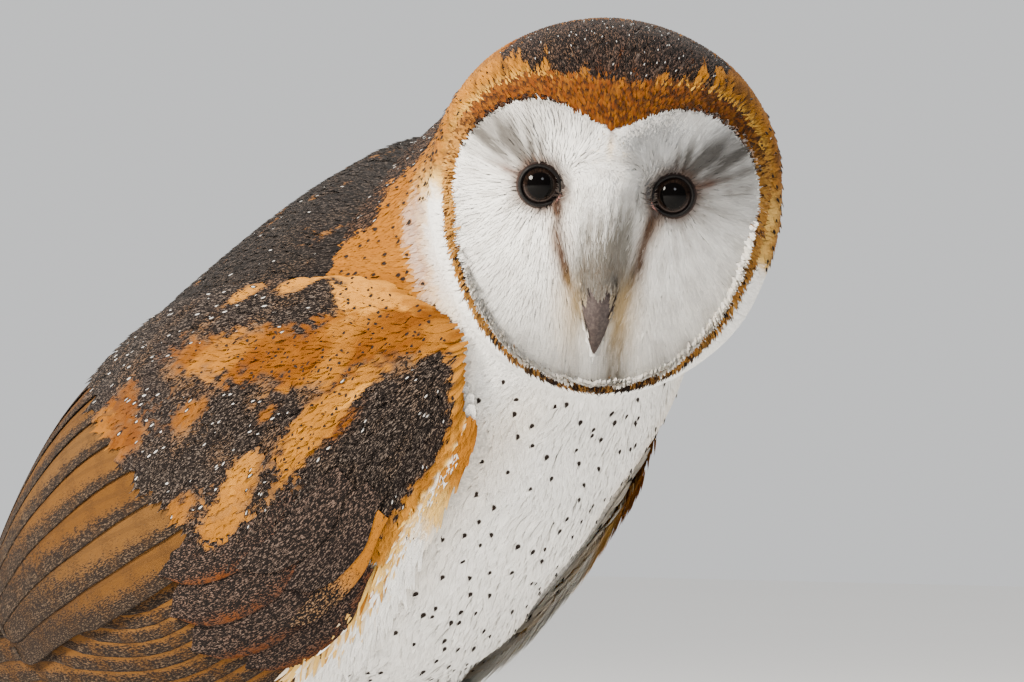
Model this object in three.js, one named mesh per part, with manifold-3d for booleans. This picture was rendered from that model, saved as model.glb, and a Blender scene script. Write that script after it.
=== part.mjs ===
// Barn owl, life size: it stands on both feet, leans forward and looks round to its right.
// Millimetres, +Z up. The bird's forward is -Y, its right is -X, and the floor is z = 0.

import * as THREE from "three";
import { mergeVertices } from "three/addons/utils/BufferGeometryUtils.js";
import Module from "manifold-3d";

const wasm = await Module();
wasm.setup();

const deg = Math.PI / 180;
const gap = 0.35; // clearance between neighbouring solids

// Body axis: it passes the shoulders and rises forward by `lean`.
const lean = 33 * deg;
const shoulderY = -91.4;
const shoulderZ = 188;

// Half sizes of the body's section, by distance back from the shoulders.
const core = {
  across: [[-42, 22], [-36, 34], [-28, 41], [-16, 46], [0, 52], [30, 58], [60, 62], [90, 63], [120, 58],
    [150, 43], [172, 27], [190, 14]],
  over: [[-42, 24], [-36, 42], [-28, 52], [-16, 58], [0, 60], [30, 63], [60, 68], [90, 67], [120, 58],
    [150, 42], [172, 26], [190, 12]],
  under: [[-42, 18], [-36, 30], [-28, 38], [-16, 45], [0, 50], [30, 58], [60, 65], [90, 69], [120, 61],
    [150, 43], [172, 26], [190, 12]],
  rise: [[-42, 14], [-34, 9], [-16, 5], [0, 2], [30, 0], [150, 0], [190, -2]],
};
const neckBase = 12; // where the neck ends and the trunk starts
const coreStations = {
  neck: [-42, -36, -27, -15, -2, neckBase - gap],
  trunk: [neckBase, 28, 46, 64, 82, 100, 116, 132, 148, 163, 176, 186, 190],
};
const coreSides = 28;

// Half sizes of the shape that the folded wings make together, by distance back from the shoulders.
const fold = {
  across: [[-10, 54], [0, 58], [20, 64], [45, 68], [68, 71], [100, 71.5], [140, 66], [180, 55], [220, 40],
    [260, 27], [312, 13]],
  over: [[-10, 65], [0, 67], [20, 70], [45, 74], [90, 76], [133, 76], [166, 73], [200, 64], [240, 48],
    [280, 32], [312, 21]],
  under: [[-10, 53], [0, 56], [20, 62], [45, 67], [68, 72], [100, 75], [140, 68], [180, 55], [220, 41],
    [260, 29], [312, 16]],
};
// Where a wing lies round the body, in degrees from the middle of the belly.
const wingLow = [[-8, 59], [3, 54], [18, 48], [41, 44], [78, 38], [121, 39], [170, 46], [230, 66],
  [270, 83], [312, 92]];
const wingHigh = [[-8, 86], [0, 95], [20, 108], [40, 118], [65, 130], [100, 146], [140, 163], [180, 172],
  [220, 175.5], [265, 175.5], [312, 152]];
const wing = {
  slide: { left: 24, right: 0 }, // how far each wing is drawn back at the bend, less toward its tip
  wrist: -8, // the foremost point of the bend of the wing
  covertsEnd: [[0, 92], [0.4, 104], [0.7, 126], [1, 146]],
  secondariesEnd: [[0, 206], [0.35, 222], [0.75, 212], [1, 192]],
  primariesEnd: [[0, 232], [0.3, 280], [0.6, 312], [1, 290]],
  split: 0.34, // share of the wing's width below the secondaries
  covertsThick: 5.4,
  covertsEdge: 1.2,
  quillThick: 2.2,
  quillLayer: 3.1, // how far the primaries lie under the secondaries
  leastThick: 0.7,
  bodyClearance: 1,
};

// Head frame: its origin lies midway between the eyes, in the plane of the face.
const head = {
  centre: [-12, -34, 34], // the middle of the skull from the shoulders, across, along -Y and up
  turn: 48 * deg, // the face turns this far to the bird's right
  nod: 5 * deg,
  roll: 4.5 * deg,
  depthToCentre: 33,
  back: 66,
  discCentre: -10,
};
// Polar outlines of the face round discCentre, by degrees from straight up.
const discOutline = [[0, 27.4], [14, 31.6], [33, 41.2], [50, 45.4], [66, 45.8], [80, 44], [96, 42.3],
  [114, 42.1], [130, 43], [156, 45.6], [180, 46.4]];
const headOutline = [[0, 57.6], [26, 57.3], [39, 57.1], [51, 56], [65, 54], [77, 51.9], [90, 50.4],
  [104, 49.2], [123, 49.2], [141, 49], [160, 49.4], [180, 49.6]];
// How far forward of the eyes' plane each outline lies, round the same angles.
const rimForward = [[0, 2], [20, 0], [45, -4], [80, -11], [110, -11], [145, -7], [180, -3]];
const sideForward = [[0, -24], [45, -22], [80, -20], [120, -18], [180, -15]];
// The ridge between the eyes, by height from them: how far it stands out, and its half width.
const ridge = {
  out: [[-46, 0], [-37, 4], [-29, 11.5], [-15, 12], [0, 10.5], [10, 7], [17, 4], [30, 0]],
  half: [[-44, 5], [-28, 5.5], [-12, 7.5], [0, 9.5], [17, 8]],
};
const dishDepth = 6.5;
const eye = { across: 19.1, up: 0, forward: -13.8, radius: 8.4 };

// The bill, by height from the eyes: its root lies inside the ridge and its tip is hooked back.
const bill = {
  top: -21, tip: -46.5, width: 12.4, depth: 8,
  forward: 0.4, arch: 2.8, hook: 3.8, point: 0.5,
};
// The lower mandible lies behind the upper one.
const mandible = { behind: 3.4, length: 0.8, width: 0.72, depth: 0.45 };

const leg = {
  across: 27,
  hip: [82, -38], // back along the axis and up from it
  ankle: [24, 68], // behind the foot, above the floor
  footY: -34.4,
  footTop: 10,
};
const toes = [
  { name: "front", length: 36, yaw: 4, root: 4.6, end: 3.4 },
  { name: "inner", length: 30, yaw: -26, root: 4.4, end: 3.3 },
  { name: "outer", length: 30, yaw: 52, root: 4.4, end: 3.2 },
  { name: "hind", length: 19, yaw: 172, root: 4.2, end: 3.2 },
];
const claw = { length: 16, root: 2.3, sunk: 1 };

const tail = {
  start: 160, end: 302, rootHalf: 15, endHalf: 27,
  sag: 5, drop: -11, thick: 2.2, feathers: 12,
};

const colours = {
  white: 0xf2ece2, gold: 0xc98a3c, grey: 0x6a6360, buff: 0xb98d57, dark: 0x15100e,
  horn: 0xb39c92, skin: 0xb9a596, clawHorn: 0x2b2624,
};

// A smooth curve through [x, y] keys: cubic pieces, the slope at a key being that of the chord across it.
function curve(keys, x) {
  const last = keys.length - 1;
  if (x <= keys[0][0]) return keys[0][1];
  if (x >= keys[last][0]) return keys[last][1];
  let i = 0;
  while (x > keys[i + 1][0]) i++;
  const slope = (j) => {
    const a = keys[Math.max(j - 1, 0)];
    const b = keys[Math.min(j + 1, last)];
    return (b[1] - a[1]) / (b[0] - a[0]);
  };
  const [x0, y0] = keys[i];
  const [x1, y1] = keys[i + 1];
  const h = x1 - x0;
  const s = (x - x0) / h;
  const rise = s * s * (3 - 2 * s);
  return (1 - rise) * y0 + rise * y1 + h * (s * (1 - s) * ((1 - s) * slope(i) - s * slope(i + 1)));
}

const smooth = (a, b, x) => {
  const s = Math.min(1, Math.max(0, (x - a) / (b - a)));
  return s * s * (3 - 2 * s);
};

// A geometry from points and triangles, turned face out.
function surface(points, index) {
  const a = new THREE.Vector3();
  let volume = 0;
  for (let i = 0; i < index.length; i += 3) {
    const [p, q, r] = [points[index[i]], points[index[i + 1]], points[index[i + 2]]];
    volume += p.dot(a.crossVectors(q, r));
  }
  if (volume < 0) index.reverse();
  const geometry = new THREE.BufferGeometry().setFromPoints(points);
  geometry.setIndex(index);
  return geometry;
}

// A closed surface over rings of equal count. A "fan" end is filled about the ring's middle. A "strip" end
// is filled across, for a ring that runs out along one side of a sheet and back along the other.
function loft(rings, ends = "fan") {
  const count = rings[0].length;
  const points = rings.flat();
  const index = [];
  for (let r = 0; r + 1 < rings.length; r++) {
    for (let i = 0; i < count; i++) {
      const a = r * count + i;
      const b = r * count + ((i + 1) % count);
      index.push(a, b, a + count, b, b + count, a + count);
    }
  }
  for (const [first, flip] of [[0, true], [(rings.length - 1) * count, false]]) {
    const add = (a, b, c) => (flip ? index.push(a, c, b) : index.push(a, b, c));
    if (ends === "fan") {
      const middle = new THREE.Vector3();
      for (let i = 0; i < count; i++) middle.addScaledVector(points[first + i], 1 / count);
      points.push(middle);
      for (let i = 0; i < count; i++) add(first + i, first + ((i + 1) % count), points.length - 1);
    } else {
      for (let i = 0; i + 1 < count / 2; i++) {
        const far = count - 1 - i;
        add(first + i, first + i + 1, first + far);
        add(first + i + 1, first + far - 1, first + far);
      }
    }
  }
  return surface(points, index);
}

function toSolid(geometry) {
  const bare = geometry.clone();
  bare.deleteAttribute("normal");
  bare.deleteAttribute("uv");
  const merged = mergeVertices(bare, 1e-3);
  const vertProperties = new Float32Array(merged.attributes.position.array);
  const triVerts = new Uint32Array(merged.index.array);
  return new wasm.Manifold(new wasm.Mesh({ numProp: 3, vertProperties, triVerts }));
}

function toGeometry(solid) {
  const mesh = solid.getMesh();
  const geometry = new THREE.BufferGeometry();
  geometry.setAttribute("position", new THREE.BufferAttribute(new Float32Array(mesh.vertProperties), 3));
  geometry.setIndex(new THREE.BufferAttribute(new Uint32Array(mesh.triVerts), 1));
  return geometry;
}

const cut = (geometry, ...tools) =>
  toGeometry(tools.reduce((left, tool) => left.subtract(toSolid(tool)), toSolid(geometry)));

const join = (...parts) => toGeometry(parts.map(toSolid).reduce((a, b) => a.add(b)));

// A point beside the body axis: across to the bird's left, back along the axis, and up from it.
function atBody(across, back, up) {
  return new THREE.Vector3(
    across,
    shoulderY + back * Math.cos(lean) + up * Math.sin(lean),
    shoulderZ - back * Math.sin(lean) + up * Math.cos(lean),
  );
}

// A point of a section of the body or the folded wings, `round` radians from the middle of the belly.
function onSection(shape, back, round, inset, side = 1) {
  const half = curve(shape.across, back) - inset;
  const depth = curve(Math.cos(round) > 0 ? shape.under : shape.over, back) - inset;
  const rise = shape.rise ? curve(shape.rise, back) : 0;
  return atBody(side * half * Math.sin(round), back, rise - depth * Math.cos(round));
}

function coreLoft(stations, grow = 0) {
  const step = (2 * Math.PI) / coreSides;
  const ring = (back) =>
    Array.from({ length: coreSides }, (_, i) => onSection(core, back, step * i, -grow));
  return loft(stations.map(ring));
}

// The depth free for a wing between the fold's outer shape and the body under it.
function wingRoom(back) {
  const free = (key) => curve(fold[key], back) - curve(core[key], back);
  return Math.min(free("across"), free("over"), free("under")) - wing.bodyClearance;
}

// A sheet of a folded wing: `from` and `to` give its ends by lane, `lanes` is across the wing.
function wingSheet(side, { from, to, low, high, inset, thick, steps, lanes }) {
  const drawn = side > 0 ? wing.slide.left : wing.slide.right;
  const rings = [];
  for (let i = 0; i <= steps; i++) {
    const outer = [];
    const inner = [];
    for (let j = 0; j <= lanes; j++) {
      const v = j / lanes;
      const back = from(v) + ((to(v) - from(v)) * i) / steps;
      const share = low(back) + (high(back) - low(back)) * v;
      const round = (curve(wingLow, back) + (curve(wingHigh, back) - curve(wingLow, back)) * share) * deg;
      const skin = inset(share, back);
      const at = back + drawn * (1 - smooth(90, 300, back));
      const under = Math.max(skin + wing.leastThick, Math.min(skin + thick(v, i / steps), wingRoom(at)));
      outer.push(onSection(fold, at, round, skin, side));
      inner.push(onSection(fold, at, round, under, side));
    }
    rings.push([...outer, ...inner.reverse()]);
  }
  return loft(rings, "strip");
}

// Feather tips along an edge: lobes of equal width, `depth` from tip to notch.
const lobes = (v, count, depth) => -depth * (1 - Math.pow(Math.abs(Math.sin(Math.PI * count * v)), 0.7));

// The front edge of the folded wing, round at the bend, by share of the wing's width.
const wingFront = (v) => wing.wrist + (v < 0.5 ? 20 * (1 - v / 0.5) ** 2 : 12 * ((v - 0.5) / 0.5) ** 2);

const covertsBack = (share) => curve(wing.covertsEnd, share);

// The coverts' thickness: full across the middle of the wing, less at its edges and toward its end.
const covertsThick = (v, u) =>
  wing.covertsEdge + (wing.covertsThick - wing.covertsEdge) *
    Math.pow(Math.sin(Math.PI * (0.08 + 0.84 * v)), 0.6) * (1 - 0.45 * u);

const wingCoverts = (side) =>
  wingSheet(side, {
    from: wingFront,
    to: covertsBack,
    low: () => 0,
    high: () => 1,
    inset: (share, back) => 1.6 * (1 - smooth(wing.wrist, wing.wrist + 22, back)),
    thick: covertsThick,
    steps: 7,
    lanes: 10,
  });

const wingSecondaries = (side) =>
  wingSheet(side, {
    from: (v) => covertsBack(wing.split + (1 - wing.split) * v) + gap,
    to: (v) => curve(wing.secondariesEnd, v) + lobes(v, 8, 9),
    low: () => wing.split,
    high: () => 1,
    inset: () => 0.4,
    thick: (v, u) => wing.quillThick - 0.8 * u,
    steps: 5,
    lanes: 16,
  });

const wingPrimaries = (side) =>
  wingSheet(side, {
    from: (v) => covertsBack(wing.split * v) + gap + 1,
    to: (v) => curve(wing.primariesEnd, v) + lobes(v, 6, 10),
    low: () => 0,
    high: (back) => wing.split - 0.02 + 0.6 * smooth(130, 290, back),
    inset: (share) => 0.6 + (wing.quillLayer - 0.6) * smooth(0.16, wing.split - 0.04, share),
    thick: (v, u) => wing.quillThick - 0.9 * u,
    steps: 8,
    lanes: 12,
  });

// The tail: a sheet of feathers, arched across and fanned a little toward its end.
function tailFan() {
  const steps = 3;
  const lanes = 2 * tail.feathers;
  const rings = [];
  for (let i = 0; i <= steps; i++) {
    const top = [];
    const under = [];
    for (let j = 0; j <= lanes; j++) {
      const v = j / lanes;
      const x = 2 * v - 1;
      const end = tail.end - 9 * x * x + lobes(v, tail.feathers, 4);
      const u = i / steps;
      const back = tail.start + (end - tail.start) * u;
      const half = tail.rootHalf + (tail.endHalf - tail.rootHalf) * smooth(0, 1.1, u);
      const up = tail.drop * u - tail.sag * x * x * (0.4 + 0.6 * u);
      top.push(atBody(half * x, back, up));
      under.push(atBody(half * x, back, up - tail.thick + 0.8 * u));
    }
    rings.push([...top, ...under.reverse()]);
  }
  return loft(rings, "strip");
}

// The head frame, in the bird's frame: side to the bird's left, up, and forward out of the face.
const forward = new THREE.Vector3(
  -Math.sin(head.turn) * Math.cos(head.nod),
  -Math.cos(head.turn) * Math.cos(head.nod),
  -Math.sin(head.nod),
);
const level = new THREE.Vector3(Math.cos(head.turn), -Math.sin(head.turn), 0);
const upright = new THREE.Vector3().crossVectors(forward, level);
const headSide = level.clone()
  .multiplyScalar(Math.cos(head.roll))
  .addScaledVector(upright, -Math.sin(head.roll));
const headUp = upright.clone()
  .multiplyScalar(Math.cos(head.roll))
  .addScaledVector(level, Math.sin(head.roll));
const skull = new THREE.Vector3(head.centre[0], shoulderY + head.centre[1], shoulderZ + head.centre[2]);

// A point of the head: across to the bird's left, up from the eyes, and forward of their plane.
function atHead(across, up, out) {
  return skull.clone()
    .addScaledVector(headSide, across)
    .addScaledVector(headUp, up)
    .addScaledVector(forward, out + head.depthToCentre);
}

// How far forward the face lies: two shallow dishes with the ridge between them.
function faceForward(across, up, k, rim) {
  const half = curve(ridge.half, up);
  const crest = curve(ridge.out, up) * Math.exp(-((across / half) ** 2));
  return rim * k * k - dishDepth * (1 - k ** 4) + crest * (1 - 0.5 * k ** 6);
}

// A point of the head's surface: k runs from the face's middle, by the rim at 1, to the back at 2.
function onHead(k, angle, grow = 0) {
  const turn = angle / deg;
  const round = turn > 180 ? 360 - turn : turn;
  const disc = curve(discOutline, round);
  const rim = curve(rimForward, round);
  let radius = disc * k;
  let out = 0;
  let lift = head.discCentre;
  if (k <= 1) {
    out = faceForward(radius * Math.sin(angle), lift + radius * Math.cos(angle), k, rim);
  } else {
    const side = curve(headOutline, round);
    const deep = curve(sideForward, round);
    const share = k - 1;
    const turnAt = 0.36;
    if (share < turnAt) {
      const s = (share / turnAt) * 0.5 * Math.PI;
      radius = disc + (side - disc) * Math.sin(s);
      out = deep + (rim - deep) * Math.cos(s);
    } else {
      const s = ((share - turnAt) / (1 - turnAt)) * 0.5 * Math.PI;
      radius = side * Math.cos(s) ** 0.9;
      out = deep - (head.back + deep) * Math.sin(s);
      lift += 8 * Math.sin(s);
    }
  }
  const swell = 1 + grow / head.depthToCentre;
  return atHead(
    radius * Math.sin(angle) * swell,
    (lift + radius * Math.cos(angle)) * swell,
    (out + head.depthToCentre) * swell - head.depthToCentre,
  );
}

const headRings = [0.16, 0.34, 0.54, 0.77, 1, 1.12, 1.34, 1.52, 1.7, 1.88];
const headSides = 36;

function headSolid(grow = 0) {
  const ring = (k) =>
    Array.from({ length: headSides }, (_, i) => onHead(k, (2 * Math.PI * i) / headSides, grow));
  return loft(headRings.map(ring));
}

// A round body along a path of points, with a radius across and a radius in depth at each.
function limb(path, radii, sides, floor = -Infinity) {
  const rings = path.map((point, i) => {
    const along = path[Math.min(i + 1, path.length - 1)].clone().sub(path[Math.max(i - 1, 0)]).normalize();
    const guide = Math.abs(along.z) > 0.9 ? new THREE.Vector3(0, -1, 0) : new THREE.Vector3(0, 0, 1);
    const across = new THREE.Vector3().crossVectors(along, guide).normalize();
    const deep = new THREE.Vector3().crossVectors(across, along);
    return Array.from({ length: sides }, (_, j) => {
      const round = (2 * Math.PI * (j + 0.5)) / sides;
      const at = point.clone()
        .addScaledVector(across, radii[i][0] * Math.cos(round))
        .addScaledVector(deep, radii[i][1] * Math.sin(round));
      at.z = Math.max(at.z, floor);
      return at;
    });
  });
  return loft(rings);
}

const eyeBall = (side, grow = 0) => {
  const ball = new THREE.SphereGeometry(eye.radius + grow, 16, 10);
  const at = atHead(side * eye.across, eye.up, eye.forward);
  return ball.translate(at.x, at.y, at.z);
};

// The bill: a hooked horn that runs down the foot of the ridge, with the smaller mandible behind it.
function billHorn(isUpper, grow = 0) {
  const steps = 7;
  const path = [];
  const radii = [];
  const part = isUpper ? { behind: 0, length: 1, width: 1, depth: 1 } : mandible;
  for (let i = 0; i <= steps; i++) {
    const u = i / steps;
    const along = u * part.length;
    const up = bill.top + (bill.tip - bill.top) * along;
    const out = bill.forward + bill.arch * Math.sin(Math.PI * 0.9 * along) - bill.hook * along ** 3;
    const taper = Math.max(0, 1 - u ** 1.6) ** 0.9;
    const across = (bill.width / 2 - bill.point) * part.width * taper;
    const deep = (bill.depth / 2) * part.depth * taper;
    path.push(atHead(0, up, out - part.behind));
    radii.push([across + bill.point + grow, deep + bill.point + grow]);
  }
  return limb(path, radii, 10);
}

// Legs: feathered thigh, tarsus, foot with four toes, and the claws.
const footAt = (side, across = 0, ahead = 0, up = 0) =>
  new THREE.Vector3(side * leg.across + across, leg.footY - ahead, up);
const hipAt = (side) => atBody(side * (leg.across - 9), leg.hip[0], leg.hip[1]);
const ankleAt = (side) => footAt(side, 0, -leg.ankle[0], leg.ankle[1]);

function thigh(side, grow = 0) {
  const hip = hipAt(side);
  const ankle = ankleAt(side);
  const past = 1 + grow / hip.distanceTo(ankle);
  const shares = [0, 0.25, 0.5, 0.7, 0.86, past];
  const path = shares.map((u) => hip.clone().lerp(ankle, u));
  const radii = shares.map((u) => [17 - 7.5 * smooth(0, 1, u) + grow, 25 - 14 * smooth(0, 1, u) + grow]);
  return limb(path, radii, 16);
}

function tarsus(side) {
  const ankle = ankleAt(side);
  const foot = footAt(side, 0, 0, leg.footTop - 2);
  const shares = [-0.06, 0.2, 0.45, 0.7, 1];
  const path = shares.map((u) => ankle.clone().lerp(foot, u));
  const radii = shares.map((u) => [9.6 - 4.2 * u, 10.2 - 4.4 * u]);
  const toesGrown = toes.map((toe) => toeLimb(side, toe, gap));
  return cut(limb(path, radii, 10), thigh(side, gap), footPad(side, gap), ...toesGrown);
}

const toeYaw = (side, toe) => toe.yaw * deg * side;
const toeAxis = (side, toe) =>
  new THREE.Vector3(Math.sin(toeYaw(side, toe)), -Math.cos(toeYaw(side, toe)), 0);

function toeLimb(side, toe, grow = 0) {
  const axis = toeAxis(side, toe);
  const shares = [0, 0.3, 0.6, 0.9, 1];
  const heights = [4.2, 3.9, 3.4, 2.9, 2.7];
  const reach = toe.length + grow;
  const path = shares.map((u, i) => footAt(side, 0, 0, heights[i]).addScaledVector(axis, reach * u));
  const radii = shares.map((u) => {
    const thick = (toe.root + (toe.end - toe.root) * u) * (u === 1 ? 0.72 : 1) + grow;
    return [thick, thick];
  });
  return limb(path, radii, 8, -grow);
}

function footPad(side, grow = 0) {
  const heights = [0, 0.33, 0.66, 1];
  const path = heights.map((u) => footAt(side, 0, 0, (leg.footTop + grow) * u));
  const radii = [6.6, 7.2, 6.6, 5.8].map((r) => [r + grow, r + grow]);
  return limb(path, radii, 12);
}

const foot = (side) => join(footPad(side), ...toes.map((toe) => toeLimb(side, toe)));

function clawHorn(side, toe) {
  const axis = toeAxis(side, toe);
  const shares = [0, 0.3, 0.55, 0.8, 1];
  const path = shares.map((u) => {
    const height = 2.9 + 3.4 * Math.sin(Math.PI * 0.62 * u) - 4.9 * u * u;
    const reach = toe.length - claw.sunk + claw.length * u * (1 - 0.12 * u);
    return footAt(side, 0, 0, height).addScaledVector(axis, reach);
  });
  const radii = shares.map((u) => {
    const thick = claw.root * (1 - u) ** 0.75 + 0.3;
    return [thick * 0.85, thick];
  });
  return cut(limb(path, radii, 8, 0.15), toeLimb(side, toe, gap));
}

const owl = new THREE.Group();
owl.name = "barn_owl";

function add(name, geometry, colour, roughness = 0.85) {
  const material = new THREE.MeshStandardMaterial({ color: colour, roughness, metalness: 0 });
  const mesh = new THREE.Mesh(geometry, material);
  mesh.name = name;
  owl.add(mesh);
}

const headGrown = headSolid(gap);
const trunkGrown = coreLoft(coreStations.trunk, gap);
const eyeGrown = [eyeBall(1, gap), eyeBall(-1, gap)];

add("head", cut(headSolid(), ...eyeGrown, billHorn(true, gap), billHorn(false, gap)), colours.white);
add("bill_upper", billHorn(true), colours.horn, 0.45);
add("bill_lower", cut(billHorn(false), billHorn(true, gap)), colours.horn, 0.5);
add("neck", cut(coreLoft(coreStations.neck), headGrown), colours.gold);
add("trunk", cut(coreLoft(coreStations.trunk), headGrown), colours.white);
add("tail", cut(tailFan(), trunkGrown), colours.buff);

for (const [sideName, side] of [["left", 1], ["right", -1]]) {
  add(`eye_${sideName}`, eyeBall(side), colours.dark, 0.1);
  add(`wing_coverts_${sideName}`, wingCoverts(side), colours.grey);
  add(`wing_secondaries_${sideName}`, wingSecondaries(side), colours.buff);
  add(`wing_primaries_${sideName}`, wingPrimaries(side), colours.buff);
  add(`thigh_${sideName}`, cut(thigh(side), trunkGrown), colours.white);
  add(`tarsus_${sideName}`, tarsus(side), colours.white);
  add(`foot_${sideName}`, foot(side), colours.skin, 0.7);
  for (const toe of toes) {
    add(`claw_${toe.name}_${sideName}`, clawHorn(side, toe), colours.clawHorn, 0.35);
  }
}

export default owl;
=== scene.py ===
# a life-size barn owl: skin, feathers, eyes, lids, bill and claws over the CAD solids; sizes in millimetres
import math

import bpy
import numpy as np
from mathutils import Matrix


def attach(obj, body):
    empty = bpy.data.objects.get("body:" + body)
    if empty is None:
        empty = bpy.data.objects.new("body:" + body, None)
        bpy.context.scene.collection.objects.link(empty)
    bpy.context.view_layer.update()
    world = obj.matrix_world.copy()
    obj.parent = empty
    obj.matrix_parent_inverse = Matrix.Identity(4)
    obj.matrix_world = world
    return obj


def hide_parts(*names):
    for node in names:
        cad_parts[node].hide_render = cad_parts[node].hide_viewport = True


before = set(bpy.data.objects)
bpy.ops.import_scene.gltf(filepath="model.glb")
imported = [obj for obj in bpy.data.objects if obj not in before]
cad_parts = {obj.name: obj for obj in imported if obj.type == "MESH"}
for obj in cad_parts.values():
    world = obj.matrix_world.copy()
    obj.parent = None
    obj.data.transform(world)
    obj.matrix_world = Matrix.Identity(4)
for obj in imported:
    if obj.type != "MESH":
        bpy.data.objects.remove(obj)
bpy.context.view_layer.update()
mm = 0.001
deg = math.pi / 180
pi = math.pi


# small helpers

def curve(keys, x):
    # smooth curve through (x, y) keys: cubic pieces, each key's slope is that of the chord across it
    kx, ky = np.array(keys, float).T
    slope = np.gradient(ky, kx)
    slope[1:-1] = (ky[2:] - ky[:-2]) / (kx[2:] - kx[:-2])
    x = np.clip(x, kx[0], kx[-1])
    i = np.clip(np.searchsorted(kx, x, side="right") - 1, 0, len(kx) - 2)
    h = kx[i + 1] - kx[i]
    s = (x - kx[i]) / h
    rise = s * s * (3 - 2 * s)
    return (1 - rise) * ky[i] + rise * ky[i + 1] + h * s * (1 - s) * ((1 - s) * slope[i] - s * slope[i + 1])


def smooth(a, b, x):
    s = np.clip((x - a) / (b - a), 0, 1)
    return s * s * (3 - 2 * s)


def mix1(a, b, share):
    return a * (1 - share) + b * share


def unit(v):
    return v / np.maximum(np.linalg.norm(v, axis=-1, keepdims=True), 1e-9)


def mix(a, b, share):
    share = np.asarray(share)[..., None]
    return np.asarray(a) * (1 - share) + np.asarray(b) * share


def layered(tint, *coats):
    # colours laid over a tint one after the other, each by its share
    for colour, share in coats:
        tint = mix(tint, colour, share)
    return tint


def picked(keep, *arrays):
    return [a[keep] for a in arrays]


def wobble(x, y, seed, size):
    # soft random value from 0 to 1 over a plane: a few sine waves of random heading, added
    rng = np.random.default_rng(seed)
    total = 0
    for _ in range(7):
        turn, phase, pace = rng.random(3) * (2 * pi, 2 * pi, 1)
        total = total + np.sin((x * np.cos(turn) + y * np.sin(turn)) / size * (0.6 + pace) * 2 + phase)
    return 0.5 + 0.5 * np.tanh(total / 2.2)


def addThing(name, data):
    thing = bpy.data.objects.new(name, data)
    bpy.context.scene.collection.objects.link(thing)
    return thing


def meshPoints(mesh):
    # a mesh's points in millimetres
    p = np.zeros(len(mesh.vertices) * 3, np.float32)
    mesh.vertices.foreach_get("co", p)
    return p.reshape(-1, 3).astype(float) / mm


def makeMesh(name, points, quads, uvs=None, marks=None, normals=None):
    # points in millimetres, faces of four corners (a repeated corner makes a triangle)
    mesh = bpy.data.meshes.new(name)
    points = np.ascontiguousarray(points.reshape(-1, 3) * mm, np.float32)
    quads = np.asarray(quads, np.int32).reshape(-1, 4)
    threes = quads[:, 2] == quads[:, 3]
    counts = np.where(threes, 3, 4).astype(np.int32)
    keep = np.ones(quads.shape, bool)
    keep[threes, 3] = False
    corners = quads[keep]
    mesh.vertices.add(len(points))
    mesh.vertices.foreach_set("co", points.ravel())
    mesh.loops.add(len(corners))
    mesh.loops.foreach_set("vertex_index", corners)
    mesh.polygons.add(len(quads))
    mesh.polygons.foreach_set("loop_start", np.concatenate([[0], np.cumsum(counts)[:-1]]).astype(np.int32))
    for label, values in (uvs or {}).items():
        layer = mesh.uv_layers.new(name=label)
        layer.uv.foreach_set("vector",
            np.ascontiguousarray(values.reshape(-1, 2)[corners], np.float32).ravel())
    for label, values in (marks or {}).items():
        layer = mesh.attributes.new(label, "FLOAT_VECTOR", "POINT")
        layer.data.foreach_set("vector", np.ascontiguousarray(values.reshape(-1, 3), np.float32).ravel())
    mesh.polygons.foreach_set("use_smooth", np.ones(len(quads), bool))
    mesh.update(calc_edges=True)
    if normals is not None:
        mesh.normals_split_custom_set_from_vertices(normals.reshape(-1, 3))
    return addThing(name, mesh)


def gridQuads(rows, columns, closed=False):
    # faces of a grid of points, row by row; a closed grid joins its last column to its first
    i, j = np.meshgrid(np.arange(rows - 1), np.arange(columns if closed else columns - 1), indexing="ij")
    k = (j + 1) % columns
    return np.stack([i * columns + j, i * columns + k, (i + 1) * columns + k, (i + 1) * columns + j],
        -1).reshape(-1, 4)


def capped(rings):
    # closed skin over rings: a grid of rings, each end drawn to its middle point; turned to face outward
    rows, columns = rings.shape[:2]
    points = np.concatenate([rings.reshape(-1, 3), rings[0].mean(0)[None], rings[-1].mean(0)[None]])
    quads = gridQuads(rows, columns, True)
    j = np.arange(columns)
    k = (j + 1) % columns
    first, last = rows * columns, rows * columns + 1
    start = np.stack([k, j, np.full(columns, first), np.full(columns, first)], -1)
    end = np.stack([j, k, np.full(columns, last), np.full(columns, last)], -1)
    end[:, :2] += (rows - 1) * columns
    quads = np.concatenate([quads, start, end])
    a, b, c = points[quads[:, 0]], points[quads[:, 1]], points[quads[:, 2]]
    d = points[quads[:, 3]]
    volume = np.einsum("ij,ij->i", a, np.cross(b, c)).sum() + np.einsum("ij,ij->i", a, np.cross(c, d)).sum()
    return points, quads if volume > 0 else quads[:, [1, 0, 3, 2]]


def joined(shells):
    points, quads, base = [], [], 0
    for p, q in shells:
        points.append(p.reshape(-1, 3))
        quads.append(q + base)
        base += len(points[-1])
    return np.concatenate(points), np.concatenate(quads)


# the body's frame: its axis passes the shoulders and rises forward

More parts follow.
